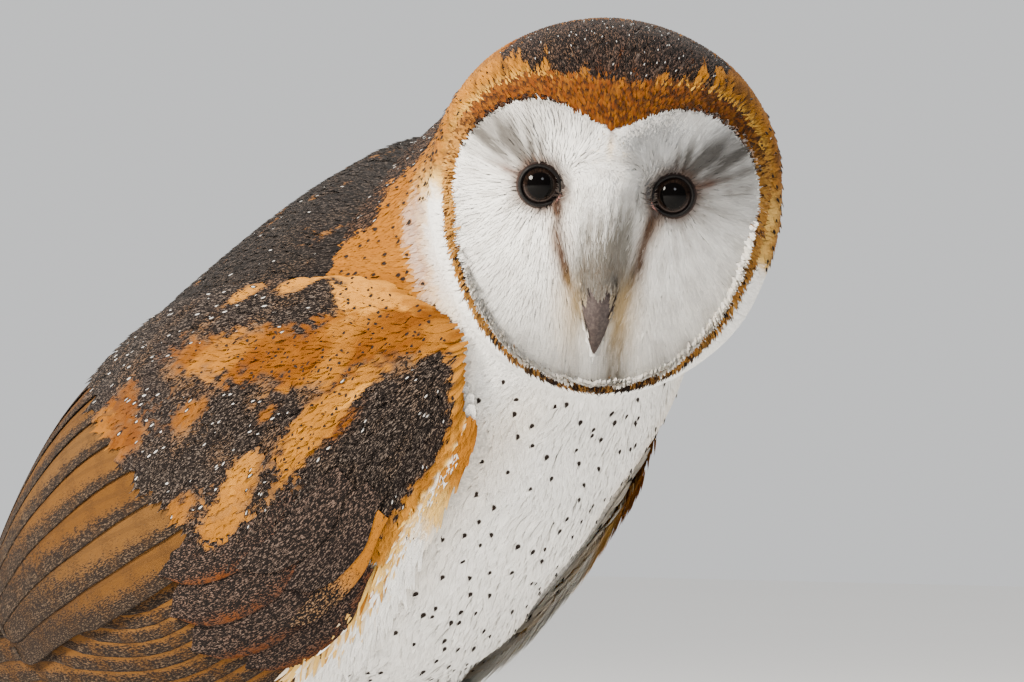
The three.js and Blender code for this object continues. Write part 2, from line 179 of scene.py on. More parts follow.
body = {"lean": 33 * deg, "shoulderY": -91.4, "shoulderZ": 188.0}
core = {
    "across": [[-42, 22], [-36, 34], [-28, 41], [-16, 46], [0, 52], [30, 58], [60, 62], [90, 63], [120, 58],
               [150, 43], [172, 27], [190, 14]],
    "over": [[-42, 24], [-36, 42], [-28, 52], [-16, 58], [0, 60], [30, 63], [60, 68], [90, 67], [120, 58],
             [150, 42], [172, 26], [190, 12]],
    "under": [[-42, 18], [-36, 30], [-28, 38], [-16, 45], [0, 50], [30, 58], [60, 65], [90, 69], [120, 61],
              [150, 43], [172, 26], [190, 12]],
    "rise": [[-42, 14], [-34, 9], [-16, 5], [0, 2], [30, 0], [150, 0], [190, -2]],
}
fold = {
    "across": [[-10, 54], [0, 58], [20, 64], [45, 68], [68, 71], [100, 71.5], [140, 66], [180, 55], [220, 40],
               [260, 27], [312, 13]],
    "over": [[-10, 65], [0, 67], [20, 70], [45, 74], [90, 76], [133, 76], [166, 73], [200, 64], [240, 48],
             [280, 32], [312, 21]],
    "under": [[-10, 53], [0, 56], [20, 62], [45, 67], [68, 72], [100, 75], [140, 68], [180, 55], [220, 41],
              [260, 29], [312, 16]],
    "rise": [[0, 0], [300, 0]],
}
wingLow = [[-8, 59], [3, 54], [18, 48], [41, 44], [78, 38], [121, 39], [170, 46], [230, 66],
    [270, 83], [312, 92]]
wingHigh = [[-8, 86], [0, 95], [20, 108], [40, 118], [65, 130], [100, 146], [140, 163], [180, 172],
    [220, 175.5], [265, 175.5], [312, 152]]


def atBody(across, back, up):
    # across to the bird's left, back along the leaning axis, and up from it
    across, back, up = np.broadcast_arrays(across, back, up)
    lean = body["lean"]
    return np.stack([
        across,
        body["shoulderY"] + back * math.cos(lean) + up * math.sin(lean),
        body["shoulderZ"] - back * math.sin(lean) + up * math.cos(lean),
    ], -1)


def bodyPlace(p):
    lean = body["lean"]
    y, z = p[..., 1] - body["shoulderY"], p[..., 2] - body["shoulderZ"]
    return p[..., 0], y * math.cos(lean) - z * math.sin(lean), y * math.sin(lean) + z * math.cos(lean)


def fromBelly(turn):
    # degrees from the middle of the belly, the same on both sides
    return np.degrees(np.minimum(turn, 2 * pi - turn))


def onSection(shape, back, turn, grow=0.0, side=1):
    # a half ellipse below and another above: turn is in radians from the middle of the belly
    half = curve(shape["across"], back) + grow
    depth = np.where(np.cos(turn) > 0, curve(shape["under"], back), curve(shape["over"], back)) + grow
    return atBody(side * half * np.sin(turn), back, curve(shape["rise"], back) - depth * np.cos(turn))


def ontoSection(shape):
    # draws points straight in or out to the section's ellipse
    def onto(p, grow=0.0):
        x, back, up = bodyPlace(p)
        up = up - curve(shape["rise"], back)
        half = curve(shape["across"], back) + grow
        depth = np.where(up < 0, curve(shape["under"], back), curve(shape["over"], back)) + grow
        far = np.maximum(np.hypot(x / half, up / depth), 1e-6)
        return atBody(x / far, back, up / far + curve(shape["rise"], back))
    return onto


def sectionDepth(shape, p):
    # share of the way out from the axis to the section's surface: under 1 is inside
    x, back, up = bodyPlace(p)
    up = up - curve(shape["rise"], back)
    depth = np.where(up < 0, curve(shape["under"], back), curve(shape["over"], back))
    far = np.hypot(x / curve(shape["across"], back), up / depth)
    ends = shape["across"]
    return np.where((back < ends[0][0]) | (back > ends[-1][0]), 9.0, far)


# the head's frame: it starts midway between the eyes

head = {
    "centre": (-12, -34, 34), "turn": 48 * deg, "nod": 5 * deg, "roll": 4.5 * deg,
    "depth": 33, "back": 66, "discCentre": -10, "dish": 6.5, "turnAt": 0.36,
}
discOutline = [[0, 27.4], [14, 31.6], [33, 41.2], [50, 45.4], [66, 45.8], [80, 44], [96, 42.3], [114, 42.1],
    [130, 43], [156, 45.6], [180, 46.4]]
headOutline = [[0, 57.6], [26, 57.3], [39, 57.1], [51, 56], [65, 54], [77, 51.9], [90, 50.4], [104, 49.2],
    [123, 49.2], [141, 49], [160, 49.4], [180, 49.6]]
rimForward = [[0, 2], [20, 0], [45, -4], [80, -11], [110, -11], [145, -7], [180, -3]]
sideForward = [[0, -24], [45, -22], [80, -20], [120, -18], [180, -15]]
ridgeOut = [[-46, 0], [-37, 4], [-29, 11.5], [-15, 12], [0, 10.5], [10, 7], [17, 4], [30, 0]]
ridgeHalf = [[-44, 5], [-28, 5.5], [-12, 7.5], [0, 9.5], [17, 8]]
eye = {"across": 19.1, "up": 0.0, "forward": -13.8, "radius": 8.4, "opening": 5.3}

turn, nod, roll = head["turn"], head["nod"], head["roll"]
ahead = np.array([-math.sin(turn) * math.cos(nod), -math.cos(turn) * math.cos(nod), -math.sin(nod)])
level = np.array([math.cos(turn), -math.sin(turn), 0])
upright = np.cross(ahead, level)
headSide = level * math.cos(roll) - upright * math.sin(roll)
headUp = upright * math.cos(roll) + level * math.sin(roll)
skull = np.array([head["centre"][0], body["shoulderY"] + head["centre"][1],
    body["shoulderZ"] + head["centre"][2]])


def atHead(across, up, out):
    across, up, out = (np.asarray(v, float)[..., None] for v in np.broadcast_arrays(across, up, out))
    return skull + headSide * across + headUp * up + ahead * (out + head["depth"])


def headPlace(p):
    q = p - skull
    return q @ headSide, q @ headUp, q @ ahead - head["depth"]


def onHead(k, angle, grow=0.0):
    # k runs from the face's middle to its rim at 1 and on to the back of the head at 2; angle is from above
    round_ = np.abs(((angle / deg + 180) % 360) - 180)
    disc, rim = curve(discOutline, round_), curve(rimForward, round_)
    side, deep = curve(headOutline, round_), curve(sideForward, round_)
    inner = np.clip(k, 0, 1)
    across, up = disc * inner * np.sin(angle), head["discCentre"] + disc * inner * np.cos(angle)
    crest = curve(ridgeOut, up) * np.exp(-((across / curve(ridgeHalf, up)) ** 2))
    face = rim * inner**2 - head["dish"] * (1 - inner**4) + crest * (1 - 0.5 * inner**6)
    share = np.clip(k - 1, 0, 1)
    s = np.clip(share / head["turnAt"], 0, 1) * pi / 2
    t = np.clip((share - head["turnAt"]) / (1 - head["turnAt"]), 0, 1) * pi / 2
    near = share < head["turnAt"]
    radius = np.where(near, disc + (side - disc) * np.sin(s), side * np.abs(np.cos(t)) ** 0.9)
    out = np.where(near, deep + (rim - deep) * np.cos(s), deep - (head["back"] + deep) * np.sin(t))
    radius = np.where(k <= 1, disc * inner, radius)
    out = np.where(k <= 1, face, out)
    lift = head["discCentre"] + np.where(near, 0, 8 * np.sin(t))
    swell = 1 + grow / head["depth"]
    return atHead(radius * np.sin(angle) * swell, (lift + radius * np.cos(angle)) * swell,
        (out + head["depth"]) * swell - head["depth"])


# across, up, out: the point that the head's radii are measured from
headMiddle = np.array([0.0, -7.0, -33.0])


def headTable(rows=150, columns=240):
    # radius of the head for each direction: surface samples are averaged in cells of azimuth by polar angle
    k, angle = np.meshgrid(np.linspace(0, 2, 700), np.linspace(0, 2 * pi, 900, endpoint=False), indexing="ij")
    across, up, out = headPlace(onHead(k, angle))
    v = np.stack([across, up, out], -1).reshape(-1, 3) - headMiddle
    radius = np.linalg.norm(v, axis=-1)
    azimuth = np.arctan2(v[:, 0], v[:, 1]) % (2 * pi)
    polar = np.arccos(np.clip(v[:, 2] / radius, -1, 1))
    cell = np.minimum(np.round(polar / pi * (rows - 1)).astype(int), rows - 1) * columns
    cell = cell + np.round(azimuth / (2 * pi) * columns).astype(int) % columns
    count = np.bincount(cell, minlength=rows * columns).reshape(rows, columns).astype(float)
    total = np.bincount(cell, radius, minlength=rows * columns).reshape(rows, columns)
    for end in (0, -1):  # all azimuths meet at a pole
        count[end], total[end] = count[end].sum(), total[end].sum()
    for _ in range(12):  # empty cells take the mean of their neighbours
        empty = count == 0
        if not empty.any():
            break
        near = lambda a: (np.roll(a, 1, 1) + np.roll(a, -1, 1) + np.roll(a, 1, 0) + np.roll(a, -1, 0))
        mean, some = near(np.where(empty, 0, total / np.maximum(count, 1))), near((~empty).astype(float))
        fill = empty & (some > 0)
        total[fill], count[fill] = (mean / np.maximum(some, 1))[fill], 1
    return total / count


headRadii = headTable()


def ontoHead(p, grow=0.0):
    # draws points in or out along radii from the head's middle, by the table of radii
    across, up, out = headPlace(p)
    v = np.stack([across, up, out], -1) - headMiddle
    far = np.maximum(np.linalg.norm(v, axis=-1), 1e-6)
    rows, columns = headRadii.shape
    a = (np.arctan2(v[..., 0], v[..., 1]) % (2 * pi)) / (2 * pi) * columns
    b = np.arccos(np.clip(v[..., 2] / far, -1, 1)) / pi * (rows - 1)
    i, j = np.minimum(b.astype(int), rows - 2), a.astype(int) % columns
    fb, fa, k = b - i, a - np.floor(a), (j + 1) % columns
    radius = (headRadii[i, j] * (1 - fa) + headRadii[i, k] * fa) * (1 - fb)
    radius = radius + (headRadii[i + 1, j] * (1 - fa) + headRadii[i + 1, k] * fa) * fb
    v = v / far[..., None] * (radius + grow)[..., None] + headMiddle
    return atHead(v[..., 0], v[..., 1], v[..., 2])


def rimDistance(across, up):
    # how far outside the face's heart-shaped rim a point lies, seen from the front, and its angle from above
    angle = np.arctan2(across, up - head["discCentre"])
    radius = np.hypot(across, up - head["discCentre"])
    return radius - curve(discOutline, np.abs(angle) / deg), angle / deg


# the bill: its middle line arches out of the ridge and hooks back at the tip; its lower half lies behind

bill = {"top": -21, "tip": -46.5, "width": 12.4, "depth": 8, "forward": 0.4, "arch": 2.8, "hook": 3.8,
    "point": 0.4}
mandible = {"behind": 3.4, "length": 0.8, "width": 0.72, "depth": 0.45}


def billLine(along):
    return bill["forward"] + bill["arch"] * np.sin(pi * 0.9 * along) - bill["hook"] * along**3


def billTaper(u):
    # narrower at the hidden root, widest where it leaves the down
    return np.maximum(0, 1 - u**1.6) ** 0.9 * (0.5 + 0.5 * smooth(-0.05, 0.36, u))


def billFront(across, up):
    # how far out the bill's front lies at a place of the face, and far behind the face where there is no bill
    u = (bill["top"] - up) / (bill["top"] - bill["tip"])
    inside = np.clip(u, 0, 1)
    half = (bill["width"] / 2 - bill["point"]) * billTaper(inside) + bill["point"]
    deep = (bill["depth"] / 2 - bill["point"]) * billTaper(inside) + bill["point"]
    front = billLine(inside) + deep * np.sqrt(np.maximum(0, 1 - (across / half) ** 2))
    return np.where((u > 0) & (u < 1) & (np.abs(across) < half), front, -99.0)


def eyeDistance(across, up):
    return np.hypot(np.abs(across) - eye["across"], up - eye["up"])


socket = {"inner": 6.2, "outer": 11.5, "lip": 0.9}


def ontoFace(p, grow=0.0):
    # the head's front as the down lies on it: dipping to the lids round each eye, and over the bill's root
    q = ontoHead(p, grow)
    across, up, out = headPlace(q)
    edge = eye["forward"] + math.sqrt(eye["radius"] ** 2 - socket["inner"] ** 2) + socket["lip"]
    dip = smooth(socket["outer"], socket["inner"], eyeDistance(across, up)) * np.maximum(out - edge, 0)
    rise = np.maximum(billFront(across, up) + grow - out, 0)
    return q + ahead * (rise - dip)[..., None]


# head and body as one surface: a soft minimum joins their distances, which fills the crease of the neck

nape = {"fillet": 20.0, "front": 2.5}


def bodySwell(x, back, up):
    # the coat's own form: soft lumps, and a hollow along each flank where the wing stands off it
    round_ = np.arctan2(x, -up) / deg
    lumps = 1.8 * (wobble(back * 0.7, round_ * 1.05, 61, 14.0) - 0.6) * smooth(-20, 20, back)
    hollow = 8.5 * np.exp(-(((np.abs(round_) - 53) / 19) ** 2)) * smooth(-4, 34,
        back) * smooth(165, 115, back)
    return lumps - hollow


def bodyDistance(p):
    x, back, up = bodyPlace(p)
    lumps = bodySwell(x, back, up)
    up = up - curve(core["rise"], back)
    depth = np.where(up < 0, curve(core["under"], back), curve(core["over"], back))
    far = np.maximum(np.hypot(x / curve(core["across"], back), up / depth), 1e-3)
    beside = np.hypot(x, up) * (1 - 1 / far) - lumps
    beyond = core["across"][0][0] - back  # past the neck's front end
    return np.where(beyond > 0, np.hypot(np.maximum(beside, 0), beyond), beside)


def headDistance(p):
    middle = atHead(*headMiddle)
    return np.linalg.norm(p - middle, axis=-1) - np.linalg.norm(ontoHead(p) - middle, axis=-1)


def birdDistance(p):
    a, b = headDistance(p), bodyDistance(p)
    k = nape["front"] + (nape["fillet"] - nape["front"]) * smooth(-10, -34, headPlace(p)[2])
    h = np.clip(0.5 + 0.5 * (b - a) / k, 0, 1)
    return b * (1 - h) + a * h - k * h * (1 - h)


def ontoBird(p, grow=0.0):
    # two steps down the slope of the distance bring points to the joined surface
    for _ in range(2):
        here = birdDistance(p)
        slope = np.stack([birdDistance(p + step) - here for step in 0.5 * np.eye(3)], -1) / 0.5
        p = p + slope * ((grow - here) / np.maximum((slope**2).sum(-1), 0.25))[..., None]
    return p


def ontoBody(p, grow=0.0):
    return ontoSection(core)(p, grow + bodySwell(*bodyPlace(p)))


# materials: the paint that more than one of them uses is a node group

class Nodes:
    # short ways to add and join shader nodes in one tree
    def __init__(self, tree):
        self.tree = tree

    def add(self, kind, inputs=(), **settings):
        node = self.tree.nodes.new(kind)
        for key, value in settings.items():
            setattr(node, key, value)
        for key, value in dict(inputs).items():
            self.feed(node.inputs[key], value)
        return node

    def feed(self, socket, value):
        if isinstance(value, bpy.types.NodeSocket):
            self.tree.links.new(value, socket)
        else:
            socket.default_value = value

    def math(self, kind, *values, clamp=False):
        node = self.add("ShaderNodeMath", operation=kind, use_clamp=clamp)
        for socket, value in zip(node.inputs, values):
            self.feed(socket, value)
        return node.outputs[0]

    def times(self, a, b):
        return self.math("MULTIPLY", a, b)

    def plus(self, a, b, clamp=False):
        return self.math("ADD", a, b, clamp=clamp)

    def minus(self, a, b):
        return self.math("SUBTRACT", a, b)

    def step(self, value, low, high, toLow=0.0, toHigh=1.0):
        # smooth step of a value from low to high
        node = self.add("ShaderNodeMapRange", interpolation_type="SMOOTHSTEP")
        for socket, item in zip(node.inputs, (value, low, high, toLow, toHigh)):
            self.feed(socket, item)
        return node.outputs[0]

    def blend(self, share, a, b, kind="MIX"):
        node = self.add("ShaderNodeMix", data_type="RGBA", blend_type=kind)
        for socket, value in zip((node.inputs[0], node.inputs[6], node.inputs[7]), (share, a, b)):
            self.feed(socket, value if isinstance(value, (bpy.types.NodeSocket, float, int)) else (*value, 1))
        return node.outputs[2]

    def noise(self, vector, scale, detail=2.0, rough=0.5, distortion=0.0):
        inputs = {"Vector": vector, "Scale": scale, "Detail": detail, "Roughness": rough,
            "Distortion": distortion}
        return self.add("ShaderNodeTexNoise", inputs).outputs[0]

    def split(self, vector):
        return self.add("ShaderNodeSeparateXYZ", {"Vector": vector}).outputs

    def combine(self, x, y, z):
        node = self.add("ShaderNodeCombineXYZ")
        for socket, value in zip(node.inputs, (x, y, z)):
            self.feed(socket, value)
        return node.outputs[0]

    def mark(self, name):
        return self.add("ShaderNodeAttribute", attribute_name=name)

    def bump(self, strength, distance, height):
        inputs = {"Strength": strength, "Distance": distance, "Height": height}
        return self.add("ShaderNodeBump", inputs).outputs[0]

    def inside(self):
        return self.add("ShaderNodeTexCoord").outputs["Object"]


def newGroup(name, inputs, outputs):
    group = bpy.data.node_groups.new(name, "ShaderNodeTree")
    for inOut, sockets in (("INPUT", inputs), ("OUTPUT", outputs)):
        for label, kind, value in sockets:
            socket = group.interface.new_socket(name=label, in_out=inOut, socket_type="NodeSocket" + kind)
            if value is not None:
                socket.default_value = value
    n = Nodes(group)
    return group, n, n.add("NodeGroupInput").outputs, n.add("NodeGroupOutput").inputs


def newMaterial(name, roughness, **settings):
    material = bpy.data.materials.new(name)
    material.use_nodes = True
    n = Nodes(material.node_tree)
    shader = material.node_tree.nodes["Principled BSDF"]
    shader.inputs["Roughness"].default_value = roughness
    for key, value in settings.items():
        shader.inputs[key].default_value = value
    return material, n, shader.inputs


def makeVanePaint():
    # a vane's marks: grey veil with fine speckle, dark spot near the tip, pale tick, bars, barbs and shaft
    group, n, take, give = newGroup("vane paint", [
        ("Tint", "Color", (0.8, 0.8, 0.8, 1)), ("Marks", "Vector", None), ("Place", "Vector", None),
        ("Size", "Vector", None), ("Vane", "Vector", None), ("Dark", "Color", (0.03, 0.025, 0.02, 1)),
        ("Pale", "Color", (0.4, 0.37, 0.33, 1)), ("Speckle", "Float", 1.0), ("Barb", "Float", 0.7),
        ("Barb depth", "Float", 0.2), ("Shaft", "Float", 0.3), ("Edge", "Float", 0.0),
        ("Fade", "Float", 0.0),
    ], [("Color", "Color", None), ("Height", "Float", None)])
    along, aside, _ = n.split(take["Vane"])
    x, y = n.times(along, 100.0), n.times(aside, 100.0)  # millimetres
    off = n.math("ABSOLUTE", y)
    u, v, seed = n.split(take["Place"])
    length, bar, width = n.split(take["Size"])
    veil, spot, tick = n.split(take["Marks"])
    shift = n.times(seed, 57.0)

    def streaks(along, across, scale=1.0, detail=2.0, rough=0.5):
        # noise drawn out along the vane, other on each vane
        return n.noise(n.combine(n.times(x, along), n.times(y, across), shift), scale, detail, rough)

    def distance(along):
        return n.math("SQRT", n.plus(n.math("POWER", along, 2.0), n.math("POWER", y, 2.0)))

    def dot(far, size, outer, inner):
        # 1 nearer than inner sizes and 0 beyond outer sizes; none where the size is nought
        return n.times(n.step(far, n.times(size, outer), n.times(size, inner)), n.step(size, 0.05, 0.1))

    # barbs slant out from the shaft toward the tip
    slant = n.math("DIVIDE", n.minus(x, n.times(off, 1.3)), take["Barb"])
    waver = streaks(0.5, 1.2)
    barbs = n.math("SINE", n.times(n.plus(slant, n.times(waver, 2.2)), 2 * pi))
    barbs = n.plus(n.times(barbs, 0.5), 0.5)
    hairs = streaks(0.35, 4.5)
    shade = n.plus(n.times(hairs, 0.5), 0.75)
    shade = n.minus(shade, n.times(barbs, take["Barb depth"]))
    tinted = n.blend(1.0, take["Tint"], n.combine(shade, shade, shade), "MULTIPLY")
    # speckle of the veil: the thicker it is the fewer pale flecks are left, and they turn from tint to grey
    flecks = streaks(0.5, 1.7, take["Speckle"], 3.0, 0.7)
    patch = streaks(0.3, 0.3)
    covered = n.plus(n.times(n.minus(patch, 0.5), 0.6), n.plus(n.times(n.minus(u, 0.6), 0.3), 1.0))
    covered = n.minus(n.times(covered, veil), n.times(v, take["Edge"]))
    lit = n.minus(flecks, n.step(covered, 0.0, 0.62, 0.0, 0.565))
    tinted = n.blend(take["Fade"], tinted, take["Pale"])
    fleck = n.blend(n.step(covered, 0.35, 0.8), tinted, n.blend(0.7, tinted, take["Pale"]))
    color = n.blend(n.step(lit, -0.035, 0.045), take["Dark"], fleck)
    # bars across the long feathers
    ripple = n.math("SINE", n.plus(n.times(n.plus(x, n.times(waver, 5.0)), 0.33), n.times(seed, 1.5)))
    barred = n.times(n.step(ripple, 0.35, 0.8), bar)
    dust = n.blend(n.step(flecks, 0.42, 0.62), take["Dark"], tinted)
    color = n.blend(barred, color, dust)
    # spot and tick near the tip
    fromTip = n.times(n.minus(u, 0.76), length)
    color = n.blend(dot(distance(n.times(fromTip, 0.8)), spot, 1.15, 0.7), color, (0.016, 0.011, 0.009))
    drop = distance(n.times(n.plus(fromTip, 0.1), 0.28))
    color = n.blend(dot(drop, tick, 3.2, 1.8), color, take["Dark"])
    color = n.blend(dot(drop, tick, 1.3, 0.7), color, (0.46, 0.44, 0.42))
    shaft = n.times(n.step(off, n.times(width, 0.05), n.times(width, 0.025)), take["Shaft"])
    color = n.blend(shaft, color, n.blend(0.5, take["Tint"], take["Dark"]))
    height = n.plus(n.times(barbs, 0.5), n.plus(hairs, n.times(shaft, 1.5)))
    n.feed(give["Color"], color)
    n.feed(give["Height"], height)
    return group


vanePaint = makeVanePaint()


def plumage(name, roughness=0.8, bump=0.25, sheen=0.15, **values):
    material, n, shader = newMaterial(name, roughness,
        **{"Sheen Weight": sheen, "Sheen Roughness": 0.5, "Specular IOR Level": 0.06})
    paint = n.add("ShaderNodeGroup", node_tree=vanePaint)
    for label in ("Tint", "Marks", "Place", "Size"):
        n.feed(paint.inputs[label], n.mark(label.lower()).outputs["Color" if label == "Tint" else "Vector"])
    n.feed(paint.inputs["Vane"], n.add("ShaderNodeUVMap", uv_map="vane").outputs[0])
    for label, value in values.items():
        n.feed(paint.inputs[label.replace("_", " ")], value)
    n.feed(shader["Base Color"], paint.outputs["Color"])
    n.feed(shader["Normal"], n.bump(bump, 0.0004, paint.outputs["Height"]))
    return material


feather = {
    "face": plumage("face down", 0.8, 0.15, 0.08, Barb_depth=0.03, Shaft=0.0, Barb=0.5),
    "soft": plumage("soft plumage", 0.9, 0.25, 0.04, Barb_depth=0.08, Shaft=0.0, Barb=0.6, Speckle=1.9,
                    Dark=(0.007, 0.005, 0.0045, 1), Pale=(0.075, 0.066, 0.062, 1)),
    "covert": plumage("covert plumage", 0.9, 0.25, 0.03, Barb_depth=0.08, Shaft=0.0, Barb=0.65, Speckle=1.7,
                      Dark=(0.007, 0.005, 0.0045, 1), Pale=(0.135, 0.107, 0.09, 1)),
    "mantle": plumage("mantle plumage", 0.9, 0.25, 0.03, Barb_depth=0.08, Shaft=0.0, Barb=0.65, Speckle=1.8,
                      Dark=(0.007, 0.0055, 0.005, 1), Pale=(0.05, 0.044, 0.041, 1)),
    "quill": plumage("flight quills", 0.75, 0.3, 0.02, Barb_depth=0.12, Shaft=0.4, Barb=0.8, Speckle=1.6,
                     Edge=0.12, Dark=(0.012, 0.008, 0.006, 1), Pale=(0.11, 0.08, 0.055, 1)),
    "under": plumage("quill undersides", 0.8, 0.3, 0.05, Barb_depth=0.1, Shaft=0.4, Barb=0.8, Speckle=1.0,
                     Fade=0.8, Dark=(0.12, 0.105, 0.095, 1), Pale=(0.42, 0.39, 0.36, 1)),
}


def paintSkin():
    # down seen between the vanes: the zone's tint, mottled
    material, n, shader = newMaterial("skin and down", 0.9, **{"Sheen Weight": 0.2})
    mottle = n.noise(n.inside(), 900.0, 3.0, 0.6)
    shade = n.step(mottle, 0.2, 0.8, 0.45, 0.95)
    n.feed(shader["Base Color"],
        n.blend(1.0, n.mark("tint").outputs["Color"], n.combine(shade, shade, shade), "MULTIPLY"))
    n.feed(shader["Normal"], n.bump(0.5, 0.0005, mottle))
    return material


def paintEye():
    # black pupil, very dark brown iris with fine rays, and a thin paler arc low on its edge, painted light
    # caught in the iris
    material, n, shader = newMaterial("eye", 0.05, **{"IOR": 1.36, "Specular IOR Level": 0.13})
    far, turned, _ = n.split(n.mark("place").outputs["Vector"])
    rays = n.noise(n.combine(n.math("COSINE", turned), n.math("SINE", turned), n.times(far, 0.06)), 14.0, 3.0)
    brown = n.blend(n.step(rays, 0.35, 0.7), (0.004, 0.0025, 0.002), (0.016, 0.009, 0.006))
    color = n.blend(n.step(far, iris["pupil"], iris["pupil"] + 0.35), (0.0015, 0.0012, 0.0012), brown)
    # painted light: a thin paler arc on the lower edge of the iris
    ring = n.times(n.step(far, iris["edge"] - 0.5, iris["edge"] - 0.2),
        n.step(far, iris["edge"] + 0.12, iris["edge"] - 0.05))
    ring = n.times(ring, n.step(n.math("SINE", turned), 0.3, -0.7, 0.0, 0.9))
    color = n.blend(ring, color, (0.05, 0.038, 0.034))
    color = n.blend(n.step(far, iris["edge"] + 0.05, iris["edge"] + 0.3), color, (0.01, 0.008, 0.008))
    n.feed(shader["Base Color"], color)
    return material


def paintLids():
    # dark wet rim, grey-pink fold, pinker in the inner corner
    material, n, shader = newMaterial("lid skin", 0.55, **{"Specular IOR Level": 0.16})
    reach, corner, _ = n.split(n.mark("place").outputs["Vector"])
    grain = n.noise(n.inside(), 2400.0, 2.0)
    fold = n.blend(n.step(grain, 0.3, 0.7), (0.02, 0.012, 0.01), (0.04, 0.022, 0.018))
    fold = n.blend(corner, fold, (0.62, 0.3, 0.26))
    n.feed(shader["Base Color"],
        n.blend(n.step(n.plus(reach, n.times(corner, 0.55)), 0.55, 0.85), (0.004, 0.003, 0.0028), fold))
    n.feed(shader["Normal"], n.bump(0.4, 0.0003, grain))
    return material


def paintHorn(name, pale, dark, roughness, from_, to):
    # horn that darkens along its length, with fine lengthwise growth lines
    material, n, shader = newMaterial(name, roughness,
        **{"Coat Weight": 0.08, "Coat Roughness": 0.4, "Specular IOR Level": 0.2})
    u, across, _ = n.split(n.mark("place").outputs["Vector"])
    lines = n.noise(n.combine(n.times(across, 3.0), n.times(u, 3.0), 0.0), 2.0, 3.0)
    grain = n.noise(n.inside(), 1200.0, 3.0)
    share = n.plus(n.step(u, from_, to), n.times(n.minus(lines, 0.5), 0.5), clamp=True)
    color = n.blend(share, pale, dark)
    color = n.blend(n.step(grain, 0.35, 0.75, 0.0, 0.3), color, n.blend(0.75, (0.55, 0.42, 0.38), color))
    n.feed(shader["Base Color"], color)
    n.feed(shader["Roughness"], n.step(grain, 0.2, 0.8, roughness - 0.08, roughness + 0.12))
    n.feed(shader["Normal"], n.bump(0.25, 0.0003, lines))
    return material


# legs and toes: they follow the solids
leg = {"across": 27, "hip": (82, -38), "ankle": (24, 68), "footY": -34.4, "footTop": 10}
toes = {
    "front": {"length": 36, "yaw": 4, "root": 4.6, "end": 3.4},
    "inner": {"length": 30, "yaw": -26, "root": 4.4, "end": 3.3},
    "outer": {"length": 30, "yaw": 52, "root": 4.4, "end": 3.2},
    "hind": {"length": 19, "yaw": 172, "root": 4.2, "end": 3.2},
}
claw = {"length": 16, "root": 2.3}


def limb(path, across, deep, sides, floor=None):
    # ellipses carried along a path of points, each square to the path there
    path = np.asarray(path, float)
    along = unit(np.gradient(path, axis=0))
    guide = np.where(np.abs(along[:, 2:3]) > 0.9, [[0.0, -1, 0]], [[0.0, 0, 1]])
    side = unit(np.cross(along, guide))
    down = np.cross(side, along)
    round_ = (np.arange(sides) + 0.5) / sides * 2 * pi
    rings = path[:, None] + side[:, None] * (np.asarray(across)[:, None] * np.cos(round_))[..., None]
    rings = rings + down[:, None] * (np.asarray(deep)[:, None] * np.sin(round_))[..., None]
    if floor is not None:
        rings[..., 2] = np.maximum(rings[..., 2], floor)
    return rings


def footAt(side, across=0.0, forwards=0.0, up=0.0):
    across, forwards, up = np.broadcast_arrays(across, forwards, up)
    return np.stack([side * leg["across"] + across, leg["footY"] - forwards, up], -1)


def thighRings(side, grow, count=12, sides=24):
    # straight from hip to ankle, tapering
    hip = atBody(side * (leg["across"] - 9), *leg["hip"])
    ankle = footAt(side, 0, -leg["ankle"][0], leg["ankle"][1])
    u = np.linspace(0, 1, count)
    path = hip + (ankle - hip) * u[:, None]
    taper = smooth(0, 1, u)
    return limb(path, 17 - 7.5 * taper + grow, 25 - 14 * taper + grow, sides)


def tarsusRings(side, grow, count=14, sides=24):
    # straight from ankle to foot, tapering
    ankle = footAt(side, 0, -leg["ankle"][0], leg["ankle"][1])
    u = np.linspace(-0.06, 1, count)
    path = ankle + (footAt(side, 0, 0, leg["footTop"] - 2) - ankle) * u[:, None]
    return limb(path, 9.6 - 4.2 * u + grow, 10.2 - 4.4 * u + grow, sides)


def toeAxis(side, toe):
    yaw = toes[toe]["yaw"] * deg * side
    return np.array([math.sin(yaw), -math.cos(yaw), 0])


def toeRings(side, toe, grow, count=22, sides=18):
    # a round body that thins toward the claw and swells a little at each joint pad
    t = toes[toe]
    u = np.linspace(0, 1, count)
    height = np.interp(u, [0, 0.3, 0.6, 0.9, 1], [4.2, 3.9, 3.4, 2.9, 2.7])
    path = footAt(side, 0, 0, height) + toeAxis(side, toe) * (t["length"] * u)[:, None]
    thick = (t["root"] + (t["end"] - t["root"]) * u) * np.where(u > 0.95, 0.72, 1.0) * (0.93
        + 0.07 * np.cos(u * 6 * pi))
    return limb(path, thick + grow, thick + grow, sides, 0.0)


def footRings(side, grow, sides=24):
    u = np.array([0, 0.33, 0.66, 1])
    path = footAt(side, 0, 0, leg["footTop"] * u)
    return limb(path, np.array([6.6, 7.2, 6.6, 5.8]) + grow, np.array([6.6, 7.2, 6.6, 5.8]) + grow, sides)


# the skin: the flesh as closed shells, joined by a remesh into one surface
skin = {"face": -0.5, "head": -1.3, "neck": -3.0, "trunk": -3.4, "thigh": -3.5, "tarsus": -1.8, "foot": -0.25,
    "arm": 3.4, "cell": 1.5, "softening": 5}
wing = {"slide": {1: 24.0, -1: 0.0}, "wrist": -8.0, "noise": {1: 3, -1: 0}}  # slide and noise by side


def wingFront(v):
    return wing["wrist"] + np.where(v < 0.5, 20 * (1 - v / 0.5) ** 2, 12 * ((v - 0.5) / 0.5) ** 2)


def wingSlide(side, back):
    # how far the wing is pushed back along the body, all of it at the shoulder and none at the tip
    return wing["slide"][side] * (1 - smooth(90, 300, back))


def wingPoint(side, back, share, sink=0.0):
    # the folded wing's outer face: back along the body and share of the way from its lower to its upper edge
    turnAt = (curve(wingLow, back) + (curve(wingHigh, back) - curve(wingLow, back)) * share) * deg
    return onSection(fold, back + wingSlide(side, back), turnAt, -sink, side)


